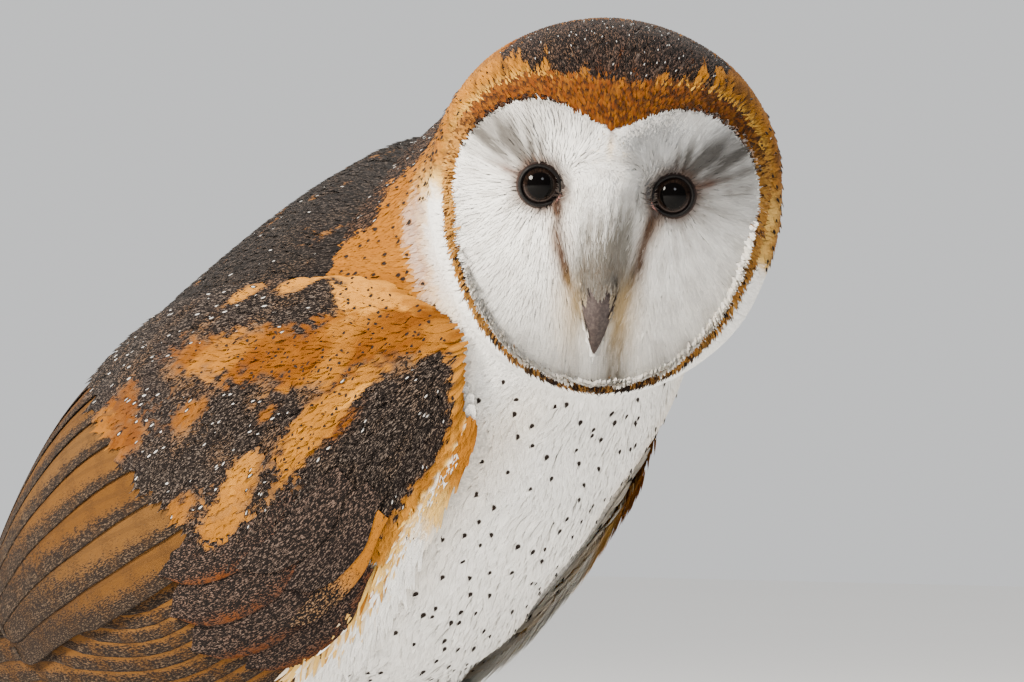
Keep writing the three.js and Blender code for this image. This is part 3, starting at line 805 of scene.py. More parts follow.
def armRings(side, count=16, lanes=22):
    # a sheet out along the wing's face and back under it, from the bend to the covert tips
    v = np.linspace(0, 1, lanes)
    ends = curve([[0, 78], [0.4, 92], [0.7, 112], [1, 132]], v)
    u = np.linspace(0, 1, count)[:, None]
    start = wingFront(v) + 3
    back = start + (ends - start) * u
    share = 0.03 + 0.94 * np.broadcast_to(v, back.shape)
    deep = 2.6 + 3.6 * np.sin(pi * (0.1 + 0.8 * share)) * (1 - 0.4 * u)
    outer = wingPoint(side, back, share, skin["arm"])
    inner = wingPoint(side, back, share, skin["arm"] + deep)
    return np.concatenate([outer, inner[:, ::-1]], 1)


def makeSkin():
    shells = []
    angle = np.linspace(0, 2 * pi, 72, endpoint=False)
    k = np.concatenate([np.linspace(0.06, 1, 22), np.linspace(1.04, 1.94, 26)])
    shells.append(capped(onHead(k[:, None], angle[None], skin["head"])))
    back = np.linspace(-38, 188, 60)
    depth = skin["neck"] + (skin["trunk"] - skin["neck"]) * smooth(-10, 40, back)
    shells.append(capped(onSection(core, back[:, None], angle[None], depth[:, None])))
    for side in (1, -1):
        shells.append(capped(thighRings(side, skin["thigh"])))
        shells.append(capped(tarsusRings(side, skin["tarsus"])))
        shells.append(capped(footRings(side, skin["foot"])))
        shells.append(capped(armRings(side)))
        for toe in toes:
            shells.append(capped(toeRings(side, toe, skin["foot"])))
    points, quads = joined(shells)
    rough = makeMesh("skin_rough", points, quads)
    cells = rough.modifiers.new("one surface", "REMESH")
    cells.mode, cells.voxel_size = "VOXEL", skin["cell"] * mm
    soft = rough.modifiers.new("soft joins", "SMOOTH")
    soft.factor, soft.iterations = 0.5, skin["softening"]
    bpy.context.view_layer.update()
    mesh = bpy.data.meshes.new_from_object(rough.evaluated_get(bpy.context.evaluated_depsgraph_get()))
    mesh.name = "skin"
    bpy.data.objects.remove(rough)
    thing = addThing("skin", mesh)
    mesh.polygons.foreach_set("use_smooth", np.ones(len(mesh.polygons), bool))
    # the joined head and body are drawn to an even depth under the coat, and hollowed behind the eyes
    p = meshPoints(mesh)
    here = birdDistance(p)
    across, up, out = headPlace(p)
    onFace = smooth(1, -2, rimDistance(across, up)[0]) * (out > -24)
    below = mix1(skin["neck"], skin["trunk"], smooth(10, 50, bodyPlace(p)[1]))
    below = mix1(below, skin["head"], smooth(6, -2, headDistance(p)))
    share = smooth(0.5, -1.0, here) * smooth(-16, -11, here)
    fitted = ontoBird(p, below)
    fitted = mix(fitted, ontoFace(p, skin["face"]), onFace)
    p = mix(p, fitted, share)
    across, up, out = headPlace(p)
    hole = smooth(6.9, 5.9, eyeDistance(across, up)) * (out > -24)
    ball = eye["forward"] + np.sqrt(np.maximum(eye["radius"] ** 2 - eyeDistance(across, up) ** 2, 0)) - 1.2
    p = p + ahead * (hole * np.minimum(ball - out, 0))[:, None]
    mesh.vertices.foreach_set("co", (p * mm).astype(np.float32).ravel())
    mesh.update()
    print("skin", len(mesh.polygons), "faces")
    return thing


skinPiece = makeSkin()


def ringed(profileOut, profileAcross, centre, axis, side, sides=48):
    # a profile turned about an axis: out along the axis and across from it, both as arrays
    up = np.cross(axis, side)
    angle = np.linspace(0, 2 * pi, sides, endpoint=False)
    flat = side * np.cos(angle)[:, None] + up * np.sin(angle)[:, None]
    return centre + axis * profileOut[:, None, None] + flat[None] * profileAcross[:, None, None]


# eyes: a ball with the cornea's bulge, and two lids round the opening
iris = {"pupil": 3.6, "edge": 4.75, "bulge": 0.75, "bulgeAngle": 44 * deg}


def makeEye(sideName, side):
    centre = atHead(side * eye["across"], eye["up"], eye["forward"])
    polar = np.linspace(0.02, pi - 0.02, 60)
    radius = eye["radius"] + iris["bulge"] * np.cos(np.clip(polar / iris["bulgeAngle"], 0, 1) * pi
        / 2) ** 1.5 - 0.35
    rings = ringed(np.cos(polar) * radius, np.sin(polar) * radius, centre, ahead, headSide, 64)
    points, quads = capped(rings)
    far = np.linalg.norm(np.cross(points - centre, ahead), axis=-1)
    front = (points - centre) @ ahead
    round_ = np.arctan2((points - centre) @ headUp, (points - centre) @ headSide)
    thing = makeMesh("eyeball_" + sideName, points, quads,
        marks={"place": np.stack([far, round_, front], -1)})
    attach(thing, "root")
    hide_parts("eye_" + sideName)
    return thing


lid = {"high": 0.75, "reach": 1.6, "sunk": 1.4}


def makeLids(sideName, side):
    # a rounded dark rim carried round the opening: it rises off the ball and sinks under the down
    centre = atHead(side * eye["across"], eye["up"], eye["forward"])
    angle = np.linspace(0, 2 * pi, 96, endpoint=False)[:, None]
    innerCorner = (pi + 0.55) if side > 0 else -0.55
    corner = np.exp(-((np.angle(np.exp(1j * (angle - innerCorner))) / 0.3) ** 2))
    brow = np.exp(-((np.angle(np.exp(1j * (angle - (pi / 2 + side * 0.6)))) / 0.7) ** 2))
    opening = eye["opening"] + 0.75 * corner - 0.45 * brow
    s = np.linspace(0, 1, 12)[None]
    across = opening + lid["reach"] * s
    seat = np.sqrt(eye["radius"] ** 2 - opening**2)
    out = seat - 0.25 + (lid["high"] + 0.3 * brow) * np.sin(pi * s**0.65) - lid["sunk"] * s * s
    p = centre + ahead * out[..., None] + headSide * (across * np.cos(angle))[..., None]
    p = p + headUp * (across * np.sin(angle))[..., None]
    place = np.stack(np.broadcast_arrays(s, corner, np.sin(angle)), -1)
    quads = gridQuads(96, 12, False)
    wrap = gridQuads(2, 12)
    wrap = np.where(wrap < 12, wrap + 95 * 12, wrap - 12)
    thing = makeMesh("eyelids_" + sideName, p, np.concatenate([quads, wrap])[:, ::-1], marks={"place": place})
    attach(thing, "root")
    return thing


def billShape(isUpper, rows=44, sides=28):
    # ellipses along the bill's middle line, shrinking to the tip
    part = {"behind": 0, "length": 1, "width": 1, "depth": 1} if isUpper else mandible
    u = np.linspace(0, 1, rows)
    along = u * part["length"]
    up = bill["top"] + (bill["tip"] - bill["top"]) * along
    across = (bill["width"] / 2 - bill["point"]) * part["width"] * billTaper(u) + bill["point"]
    deep = (bill["depth"] / 2 - bill["point"]) * part["depth"] * billTaper(u) + bill["point"]
    path = atHead(0 * u, up, billLine(along) - part["behind"])
    down = np.cross(unit(np.gradient(path, axis=0)), headSide)
    angle = np.linspace(0, 2 * pi, sides, endpoint=False)
    keel = np.sin(angle)
    front = np.sign(-(down[0] @ ahead)) * keel  # the front is narrower than the cutting edges
    ring = headSide * (across[:, None] * np.cos(angle) * (1 - 0.3 * np.maximum(-front, 0)))[..., None]
    return path[:, None] + ring + down[:, None] * (deep[:, None] * keel)[..., None]


def makeBill(name, isUpper, node):
    rings = billShape(isUpper)
    points, quads = capped(rings)
    u = np.repeat(np.linspace(0, 1, rings.shape[0]), rings.shape[1])
    u = np.concatenate([u, [0, 1]])
    across = (points - skull) @ headSide
    thing = makeMesh(name, points, quads, marks={"place": np.stack([u, across, 0 * u], -1)})
    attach(thing, "root")
    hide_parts(node)
    return thing


def makeClaws(sideName, side):
    # each claw is a tapering hook along an arc from its toe's end down to the floor
    shells, shares = [], []
    for toe in toes:
        u = np.linspace(0, 1, 20)
        height = 2.9 + 3.4 * np.sin(pi * 0.62 * u) - 4.9 * u * u
        reach = toes[toe]["length"] - 1.6 + claw["length"] * u * (1 - 0.12 * u)
        path = footAt(side, 0, 0, height) + toeAxis(side, toe) * reach[:, None]
        thick = claw["root"] * (1 - u) ** 0.75 + 0.25
        shells.append(capped(limb(path, thick * 0.85, thick, 16, 0.1)))
        shares.append(np.concatenate([np.repeat(u, 16), [0, 1]]))
    points, quads = joined(shells)
    share = np.concatenate(shares)
    thing = makeMesh("claws_" + sideName, points, quads,
        marks={"place": np.stack([share, 0 * share, 0 * share], -1)})
    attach(thing, "root")
    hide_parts(*["claw_%s_%s" % (toe, sideName) for toe in toes])
    return thing


skinPiece.data.materials.append(paintSkin())
eyePaint, lidPaint = paintEye(), paintLids()
billPaint = paintHorn("bill horn", (0.042, 0.03, 0.028), (0.02, 0.012, 0.01), 0.5, 0.3, 0.95)
clawPaint = paintHorn("claw horn", (0.11, 0.085, 0.075), (0.025, 0.02, 0.018), 0.35, 0.1, 0.7)
eyes = [makeEye("left", 1), makeEye("right", -1)]
lids = [makeLids("left", 1), makeLids("right", -1)]
bills = [makeBill("beak_upper", True, "bill_upper"), makeBill("beak_lower", False, "bill_lower")]
claws = [makeClaws("left", 1), makeClaws("right", -1)]
for pieces, paint in ((eyes, eyePaint), (lids, lidPaint), (bills, billPaint), (claws, clawPaint)):
    for piece in pieces:
        piece.data.materials.append(paint)
print("eyes, bill and claws")


# feathers: each is a small curved vane of a few faces, set root down on a surface and drawn along it

def scatter(point, aEnds, bEnds, spacing, seed, jitter=0.3):
    # rows of even spacing over point(a, b), and places of even spacing along each row, staggered and shaken
    rng = np.random.default_rng(seed)
    a = np.linspace(*aEnds, 160)
    b = np.linspace(*bEnds, 48)
    grid = point(a[:, None], b[None])
    step = np.linalg.norm(np.diff(grid, axis=0), axis=-1).mean(1)
    run = np.concatenate([[0], np.cumsum(step)])
    rows = np.interp(np.arange(spacing / 2, run[-1], spacing), run, a)
    b = np.linspace(*bEnds, 200)
    outA, outB = [], []
    pace = np.gradient(a, run)
    for i, row in enumerate(rows):
        line = point(np.full(200, row), b)
        length = np.concatenate([[0], np.cumsum(np.linalg.norm(np.diff(line, axis=0), axis=-1))])
        count = max(int(length[-1] / spacing), 1)
        at = (np.arange(count) + (i % 2) * 0.5 + rng.uniform(-jitter, jitter, count)) / count * length[-1]
        outB.append(np.interp(at, length, b))
        outA.append(row + rng.uniform(-jitter, jitter, count) * spacing * np.interp(row, a, pace))
    return np.clip(np.concatenate(outA), *sorted(aEnds)), np.concatenate(outB)


def newTract():
    return {"points": [], "quads": [], "vane": [], "bake": [], "tint": [], "marks": [], "place": [],
        "size": [], "normals": [], "count": 0}


def vaneWidth(u, tip):
    # half width along a feather: narrow quill, full by the middle, rounded end
    end = np.clip((u - tip) / (1 - tip), 0, 1)
    return (0.4 + 0.6 * smooth(0, 0.4, u)) * np.sqrt(np.maximum(1 - end**2.2, 0.02))


def blendNormals(q, surface, soften):
    # each point's own normal, drawn toward that of the surface below, so that the coat shades as one body
    own = unit(np.cross(np.gradient(q, axis=1), np.gradient(q, axis=2)))
    own = own * np.sign((own * surface).sum(-1, keepdims=True) + 1e-9)
    return unit(own * (1 - soften) + surface * soften).reshape(-1, 3)


def addVanes(tract, q, normals, xy, tint, marks, place, sizes, bake, patch):
    # files n vanes of rows by columns points under one tract; a value of any lesser shape is spread over them
    n, rows, columns = q.shape[:3]
    wide = lambda values: np.stack([np.broadcast_to(value, (n, rows, columns)) for value in values], -1)
    first = tract["count"] + np.arange(n)[:, None, None] * rows * columns
    tract["quads"].append((gridQuads(rows, columns) + first).reshape(-1, 4))
    tract["count"] += n * rows * columns
    u, v, _ = place
    spread = wide((u - 0.5, v * 0.5)) * patch
    values = {"points": q, "normals": normals, "vane": wide(xy), "tint": tint, "marks": wide(marks),
        "place": wide(place), "size": wide(sizes), "bake": np.asarray(bake)[:, None, None] * 0.985
        + 0.0075 + spread}
    for key, value in values.items():
        tract[key].append(value.reshape(-1, value.shape[-1]))
    return tract


def plant(tract, onto, root, lie, length, width, tint, bake, seed, rows=5, columns=3, tip=0.55, sink=1.5,
        rise=1.5, curl=0.0, camber=0.12, shake=0.12, tipTint=None, tintFrom=0.35, veil=0.0, spot=0.0,
        tick=0.0, bar=0.0, patch=0.003, soften=0.7, paint=None, byPlace=0.75):
    # one vane each root: along u and across v, bent to the surface by onto, lifted from -sink to rise;
    # paint(points) gives tint and veil by place, and byPlace is its share against the root's own
    rng = np.random.default_rng(seed)
    n = len(root)
    full = lambda value: np.broadcast_to(np.asarray(value, float), (n,)).copy()
    deep = lambda value: full(value)[:, None, None]
    length, width = full(length) * rng.uniform(0.88, 1.12, n), full(width) * rng.uniform(0.9, 1.1, n)
    base = onto(root)
    d = unit(onto(base + unit(lie) * 0.5) - base)
    outward = unit(onto(base, 1.0) - base)
    s = unit(np.cross(outward, d))
    normal = np.cross(d, s)
    angle = rng.normal(0, 1, n) * shake
    d, s = (d * np.cos(angle)[:, None] + s * np.sin(angle)[:, None],
        s * np.cos(angle)[:, None] - d * np.sin(angle)[:, None])
    u = np.linspace(0, 1, rows)[None, :, None]
    v = np.linspace(-1, 1, columns)[None, None]
    x = length[:, None, None] * (u - 0.13 * v * v * u * u)
    half = width[:, None, None] / 2 * vaneWidth(u, tip)
    y = half * v + (rng.normal(0, 0.05, n) * length)[:, None, None] * u * u
    q = base[:, None, None] + d[:, None, None] * x[..., None] + s[:, None, None] * y[..., None]
    q = onto(q)
    ground = q
    smoothNormal = unit(onto(q, 1.0) - q)
    sink, rise = full(sink), full(rise) * rng.uniform(0.8, 1.25, n)
    curl = full(curl) * rng.uniform(0.6, 1.4, n)
    lift = -sink[:, None, None] + (sink + rise)[:, None, None] * u**0.8 + curl[:, None, None] * u**3
    lift = lift - camber * width[:, None, None] * v * v * (0.3 + 0.7 * u)
    q = q + normal[:, None, None] * lift[..., None]
    seeds = rng.random(n)
    wide = lambda a: np.broadcast_to(a, (n, rows, columns))
    tint = np.broadcast_to(tint, (n, 3))[:, None, None]
    tipTint = tint if tipTint is None else np.broadcast_to(tipTint, (n, 3))[:, None, None]
    share = wide(smooth(tintFrom, tintFrom + 0.4, u))[..., None]
    col = tint * (1 - share) + tipTint * share
    veil = deep(veil)
    if paint:
        placeTint, placeVeil = paint(ground)[:2]
        col = col * (1 - byPlace) + placeTint * byPlace
        veil = veil * (1 - byPlace) + placeVeil * byPlace
    shade = rng.normal(1, 0.06, n)[:, None, None, None]
    normals, tint = blendNormals(q, smoothNormal, soften), np.broadcast_to(col, q.shape) * shade
    marks, sizes = (veil, deep(spot), deep(tick)), (deep(length), deep(bar), deep(width))
    return addVanes(tract, q, normals, (x, y), tint, marks, (u, v, deep(seeds)), sizes, bake, patch)


def finishTract(name, tract, material, replaced=()):
    get = lambda key: np.concatenate(tract[key])
    p, quads, normals = get("points"), get("quads"), get("normals")
    facing = np.cross(p[quads[:, 2]] - p[quads[:, 0]], p[quads[:, 3]] - p[quads[:, 1]])
    inward = (facing * normals[quads].sum(1)).sum(-1) < 0
    quads[inward] = quads[inward][:, ::-1]  # every face looks outward
    thing = makeMesh(name, p, quads, {"vane": get("vane") / 100, "OFBake": get("bake")},
        {key: get(key) for key in ("tint", "marks", "place", "size")}, normals)
    thing.data.materials.append(material)
    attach(thing, "root")
    if replaced:
        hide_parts(*replaced)
    print(name, len(quads) * 2, "triangles")
    return thing


# colours of the plumage, and where each lies
tone = {
    "white": (0.86, 0.845, 0.81), "cream": (0.68, 0.42, 0.11), "buff": (0.30, 0.145, 0.042),
    "gold": (0.30, 0.108, 0.007), "orange": (0.17, 0.044, 0.002), "rust": (0.095, 0.023, 0.002),
    "brown": (0.045, 0.017, 0.006), "ash": (0.20, 0.18, 0.16), "soot": (0.01, 0.008, 0.007),
}
tone = {name: np.array(value) for name, value in tone.items()}


def headZone(p):
    across, up, out = headPlace(p)
    away, angle = rimDistance(across, up)
    side = np.abs(angle)
    blotch = wobble(across, up + out * 0.7, 11, 7.0)
    fine = wobble(across, up + out * 0.6, 12, 2.6)
    grain = wobble(across, up + out * 0.6, 13, 1.1)
    ragged = 0.5 * (blotch - 0.5) + 0.35 * (fine - 0.5) + 0.25 * (grain - 0.5)
    front = smooth(-34, -20, out)
    brow = smooth(76, 56, side) * front
    tint = mix(mix(tone["gold"], tone["cream"], 0.2), tone["gold"] * (1, 0.95, 0.6), 0.55 + ragged)
    tint = layered(tint,
        (tone["orange"], 0.45 * smooth(0.5, 0.85, fine) + 0.2 * smooth(0.4, 0.8, grain)),
        (tone["orange"] * 0.85, brow * (0.6 + 0.7 * ragged)))
    lineOut = curve([[0, 8.6], [25, 7], [45, 5.4], [70, 3.8], [180, 3]], side)
    line = np.exp(-(((away - lineOut + 1.2 * ragged) / 1.9) ** 2)) * brow
    tint = layered(tint,
        (tone["rust"], 0.55 * smooth(0.5, 0.85, fine) * smooth(26, 8, away) * brow),
        (tone["gold"] * (1.15, 1.2, 1.0),
            smooth(5, 8, away) * smooth(17, 12, away) * brow * smooth(12, 30, side)),
        (tone["brown"],
            0.65 * smooth(0.55, 0.72, grain) * smooth(26, 10, away) * smooth(50, 76, side + 40 * brow)),
        (tone["cream"] * (0.8, 0.68, 0.4), 1.2 * line * smooth(6, 18, side) * (0.6 + 0.4 * blotch)),
        (tone["rust"] * 1.3, 0.8 * smooth(5.2, 2.6, away + 3 * ragged) * brow))
    # the sides pale to cream and, from the cheeks down, to white
    low = smooth(8, -14, up + 12 * ragged + 16 * smooth(-5, 20, across)) * smooth(60, 92, side)
    cheek = np.maximum(smooth(13.5, 7, away + 4 * ragged), smooth(136, 150, side))
    low = low * np.where(across < 0, cheek, 1)
    edge = smooth(9, 3, away + 3 * ragged) * smooth(70, 84, side) * smooth(14, 0, up)
    tint = layered(tint,
        (tone["cream"], 0.8 * edge),
        (tone["cream"], smooth(0.05, 0.5, low)),
        (tone["white"], smooth(0.35, 0.85, low)))
    # the dark crown runs back to the nape
    crown = smooth(25.5, 33, up + 9 * (fine - 0.5) + 7 * (grain - 0.5) + 3 * (blotch - 0.5)
        - 0.2 * np.abs(across))
    crown = crown * smooth(41, 29, np.abs(across + 1) + 9 * ragged) * front
    crown = crown * (1 - 0.45 * smooth(0.7, 0.9, fine) * smooth(0.5, 0.8, blotch) * smooth(48, 38, up))
    nape = smooth(-20, -36, out) * smooth(38, 26, np.abs(across) + 10 * ragged) * smooth(-50, -30, up)
    veil = np.maximum(crown, 0.9 * nape * (0.55 + 0.45 * blotch))
    return tint, veil


def bodyZone(p):
    # white below, golden on the neck's sides, grey-veiled above
    x, back, up = bodyPlace(p)
    up = up - curve(core["rise"], back)
    turnAt = np.abs(np.degrees(np.arctan2(x / curve(core["across"], back), -up / curve(core["under"], back))))
    blotch = wobble(back, turnAt * 1.1, 21, 9.0)
    fine = wobble(back, turnAt, 22, 3.0)
    edge = curve([[-40, 80], [-7, 74], [10, 62], [30, 84], [60, 100], [190, 120]], back) + 7 * (blotch - 0.5)
    soft = wobble(back * 0.6, turnAt * 1.1, 23, 15.0)
    wash = 0.3 * soft * smooth(20, 45, turnAt + 10 * (x > 0)) * smooth(-30, 10, back)
    tint = mix(tone["white"], tone["cream"], wash)
    tint = layered(tint,
        (tone["cream"], smooth(-8, 12, turnAt - edge)),
        (tone["gold"], smooth(1, 20, turnAt - edge + 6 * (fine - 0.5))),
        (tone["orange"], 0.35 * fine * smooth(8, 30, turnAt - edge)))
    upper = curve([[-40, 150], [0, 136], [27, 124], [60, 118], [190, 110]], back)
    veil = smooth(-6, 10, turnAt - upper + 14 * (blotch - 0.5))
    return tint, veil, turnAt


# golden patches of the folded wing: back along the body, share of the wing's width, half sizes of each,
# strength, and how light
wingPatches = [
    (42, 0.465, 17, 0.045, 1.2, 0.35), (31, 0.475, 8, 0.02, 0.9, 1.0), (36, 0.405, 9, 0.03, 0.5, 0.0),
    (83, 0.63, 6, 0.022, 0.7, 0.1), (57, 0.555, 4, 0.018, 0.6, 0.1), (114, 0.70, 9, 0.035, 0.9, 0.0),
    (127, 0.66, 12, 0.035, 1.0, 0.2), (113, 0.62, 9, 0.025, 0.8, 0.0), (141, 0.56, 15, 0.05, 1.0, 0.6),
    (76, 0.435, 8, 0.025, 0.9, 0.5), (87, 0.375, 11, 0.035, 1.0, 0.3), (112, 0.39, 12, 0.03, 0.9, 0.2),
    (53, 0.95, 7, 0.016, 0.8, 0.6), (30, 0.985, 9, 0.02, 0.9, 0.6), (97, 0.09, 9, 0.035, 0.9, 0.8),
]
scapular = {
    "upper": [[-8, 0.86], [8, 0.84], [20, 0.80], [40, 0.785], [60, 0.805], [80, 0.82], [97, 0.815]],
    "lower": [[-8, 0.4], [4, 0.48], [12, 0.565], [20, 0.585], [40, 0.61], [60, 0.69], [80, 0.775], [97, 0.8]],
}


def wingPlace(side, p):
    # the back and share that wingPoint would need to reach p
    x, drawn, up = bodyPlace(p)
    up = up - curve(fold["rise"], drawn)
    depth = np.where(up < 0, curve(fold["under"], drawn), curve(fold["over"], drawn))
    turnAt = np.arctan2(side * x / curve(fold["across"], drawn), -up / depth) / deg
    back = drawn
    for _ in range(5):
        back = drawn - wingSlide(side, back)
    low, high = curve(wingLow, back), curve(wingHigh, back)
    return back, (turnAt - low) / (high - low)


def wingZone(side, back, share):
    # tint and veil by place; noise is drawn out along the lie, and stream stays the same along it
    stream, seed = (share + 0.003 * back) * 95, wing["noise"][side]
    blotch = wobble(back * 0.5, stream, 31 + seed, 8.0)
    fine = wobble(back * 0.45, stream * 1.1, 41 + seed, 2.4)
    grain = wobble(back * 0.5, stream * 1.2, 51 + seed, 0.9)
    ragged = 0.7 * (fine - 0.5) + 0.35 * (blotch - 0.5) + 0.7 * (grain - 0.5)
    warm, light, glow = 0 * back, 0 * back, 0 * back
    for b, s, halfBack, halfShare, strength, pale in wingPatches:
        far = np.hypot((back - b) / halfBack, (share - s + 0.003 * (back - b)) / halfShare)
        here = strength * smooth(1.75, 0.35, far + 0.8 * ragged)
        glow = np.maximum(glow, strength * smooth(2.3, 0.5, far + 0.4 * ragged))
        light = np.where(here > warm, pale, light)
        warm = np.maximum(warm, here)
    # the shoulder's golden band, the pale gold before it, and the golden leading edge
    inner = 90 * np.minimum(curve(scapular["upper"], back) - share, share - curve(scapular["lower"], back))
    band = smooth(-5.5, 4.5, inner + 8 * ragged) * smooth(106, 84, back + 10 * ragged) * (1
        - 0.4 * smooth(34, 84, back + 30 * (blotch - 0.5)))
    corner = smooth(23, 14, back + 8 * ragged) * smooth(0.76, 0.84, share)
    glow = np.maximum(glow, smooth(-6, 7, inner + 4 * ragged) * smooth(112, 80, back))
    light = np.where(band > warm, 0.25 * smooth(0.6, 0.85, blotch), light)
    warm = np.maximum(warm, band)
    light = np.where(corner > warm, 0.7, light)
    warm = np.maximum(warm, corner * 0.85)
    front = back - wingFront(np.clip(share, 0, 1))
    edge = np.maximum(smooth(7.5, 2.5, front + 7 * ragged), smooth(0.10, 0.055, share + 0.05 * ragged))
    light = np.where(edge > warm, 0.2 + 0.4 * fine, light)
    warm = np.clip(np.maximum(warm, edge), 0, 1)
    tint = mix(tone["orange"] * 0.62, tone["gold"] * 0.8, 0.1 + 0.35 * fine + 0.5 * light)
    tint = mix(tint, tone["buff"] * (2.0, 1.8, 0.7), light * 0.85)
    cloud = wobble(back * 0.6, stream, 61 + seed, 5.0)
    field = mix(np.array((0.05, 0.035, 0.024)), tone["buff"] * (0.55, 0.6, 0.9),
        smooth(0.5, 0.85, cloud + 0.3 * (fine - 0.5)))
    tint = mix(mix(field, tone["orange"] * 0.7, 0.6 * glow), tint, smooth(0.05, 0.5, warm))
    pale = smooth(0.03, -0.012, share + 0.03 * ragged) * smooth(-4, 8, back)
    tint = layered(tint,
        (tone["cream"], smooth(0.0, 0.5, pale)),
        (tone["white"], smooth(0.4, 1.0, pale)))
    deep = smooth(1.25, 0.75, np.hypot((back - 32) / 26, (share - 0.25) / 0.17) + 0.4 * ragged)
    veil = 0.69 + 0.3 * (0.5 - cloud) + 0.34 * deep - 0.68 * warm - 0.26 * np.clip(glow, 0, 1)
    veil = veil + 0.3 * smooth(0.5, 0.2, share) * (1 - deep) * (1 - warm)
    return tint, np.clip(veil, 0, 1), deep


def bodyBake(p):
    x, back, up = bodyPlace(p)
    turnAt = np.arctan2(x, -up) / (2 * pi) + 0.5
    return np.stack([np.clip((back + 45) / 240, 0, 1), turnAt], -1)


def headBake(k, angle):
    return 0.5 + 0.5 * np.stack([np.sin(angle), np.cos(angle)], -1) * (k / 2)[..., None]


# the face: fine white down, rayed out from each eye, and down the ridge to the bill
faceDown = {"spacing": 0.8, "length": 7.0, "width": 0.72}


def band(across, up, start, end, half):
    # 1 along a line from start to end, falling off to its sides
    (x0, y0), (x1, y1) = start, end
    u = np.clip(((across - x0) * (x1 - x0) + (up - y0) * (y1 - y0)) / ((x1 - x0) ** 2 + (y1 - y0) ** 2), 0, 1)
    return np.exp(-((np.hypot(across - x0 - u * (x1 - x0), up - y0 - u * (y1 - y0)) / half) ** 2))


def facePaint(across, up):
    a = np.abs(across)
    ray = np.arctan2(up, a - eye["across"]) * 9
    eyeAway = eyeDistance(across, up)
    streak = wobble(ray, eyeAway * 0.25, 51, 0.9)
    mottle = wobble(across, up * 0.6, 52, 2.2)
    left = smooth(-4, 4, across)
    # dark smudges beside and above the eyes, with painted shade laid over them: heavier on the bird's left
    # half of the face, plus bands of painted shade over the bird's right forehead and above the left eye
    smokyAndShade = (0.85 + 0.15 * left) * band(a, up, (22.5, 8.6), (38.5, 17), 4.0)
    smokyAndShade = smokyAndShade + 0.55 * band(a, up, (25, 6), (33, 7.5), 2.6)
    smokyAndShade = smokyAndShade + 0.34 * band(a, up, (31, 2), (40, 8), 7) * left
    smokyAndShade = smokyAndShade + 0.22 * band(across, up, (-38, 14), (-12, 26), 8)
    smokyAndShade = smokyAndShade + 0.2 * band(across, up, (9, 12), (16, 24), 6)
    rays = 0.5 * smooth(0.45, 0.95, streak) * (0.5 + 0.5 * mottle) * smooth(36, 22, up)
    tint = mix(tone["white"], tone["ash"] * 1.5, rays)
    # painted shade round each eye socket, heavier on the bird's left half of the face
    socketShade = smooth(15, 7, eyeAway) * (0.5 + 0.5 * mottle)
    tint = mix(tint, tone["ash"] * (1.0, 0.88, 0.78), (0.34 + 0.16 * left) * socketShade)
    # painted shade over the forehead and above the eyes
    above = 0.62 * band(across, up, (-33, 15), (-9, 25), 9) + 0.35 * band(across, up, (8, 8), (17, 24), 6)
    above = above + 0.5 * band(across, up, (33, -2), (39, 14), 6)
    tint = layered(tint,
        (tone["ash"] * (1.7, 1.75, 1.75), above * (0.6 + 0.5 * mottle)),
        (tone["ash"] * 0.42, np.clip(1.5 * smokyAndShade * (0.35 + 0.9 * streak), 0, 0.95)))
    # brown runs down from the inner corners beside the ridge
    middle = curve([[-31, 7.4], [-22.6, 10.2], [-13.8, 12.4], [-6, 13.3], [-1, 12.3], [3, 11.6]], up)
    tear = np.exp(-(((a - middle) / (1.4 + 0.7 * mottle)) ** 2)) * smooth(-33, -25, up) * smooth(3, -1, up)
    wash = np.exp(-(((a - middle - 0.4) / 3.2) ** 2)) * smooth(-38, -24, up) * smooth(1, -6, up)
    tint = layered(tint,
        (tone["buff"], 0.5 * wash * (0.4 + 0.8 * mottle)),
        (tone["brown"] * 1.1, np.clip(1.05 * tear * (0.55 + 0.6 * mottle), 0, 0.95)))
    outer = band(a, up, (25.6, 2.4), (29.5, 3.6), 1.5)
    tint = mix(tint, tone["rust"], 0.8 * outer * (0.5 + 0.5 * streak))
    tint = mix(tint, tone["brown"] * 1.2, 0.75 * smooth(9.4, 6.9, eyeAway))
    # grey-brown down the ridge toward the bill with painted shade down its left side, and a rusty notch
    # between the brows
    ridgeGreyAndShade = 1.7 * np.exp(-((across / 7.8) ** 4)) * smooth(4, -20, up) * smooth(-40, -33, up)
    # painted shade down the left side of the ridge
    ridgeGreyAndShade = ridgeGreyAndShade + 0.9 * np.exp(-(((across - 6) / 4.5) ** 2)) * smooth(10, -12, up)
    tint = mix(tint, tone["ash"] * (0.42, 0.4, 0.33),
        np.clip(ridgeGreyAndShade * (0.45 + 0.7 * wobble(across * 2, up * 0.35, 53, 1.6)), 0, 0.88))
    notch = np.exp(-((across / 0.9) ** 2)) * smooth(7, 14, up)
    tint = mix(tint, mix(tone["cream"], tone["rust"], smooth(13, 17, up)), 0.85 * notch)
    stain = np.exp(-(((a - 8) / 5) ** 2)) * smooth(-20, -32, up) * smooth(-52, -36, up)
    return mix(tint, tone["cream"], 0.35 * stain)


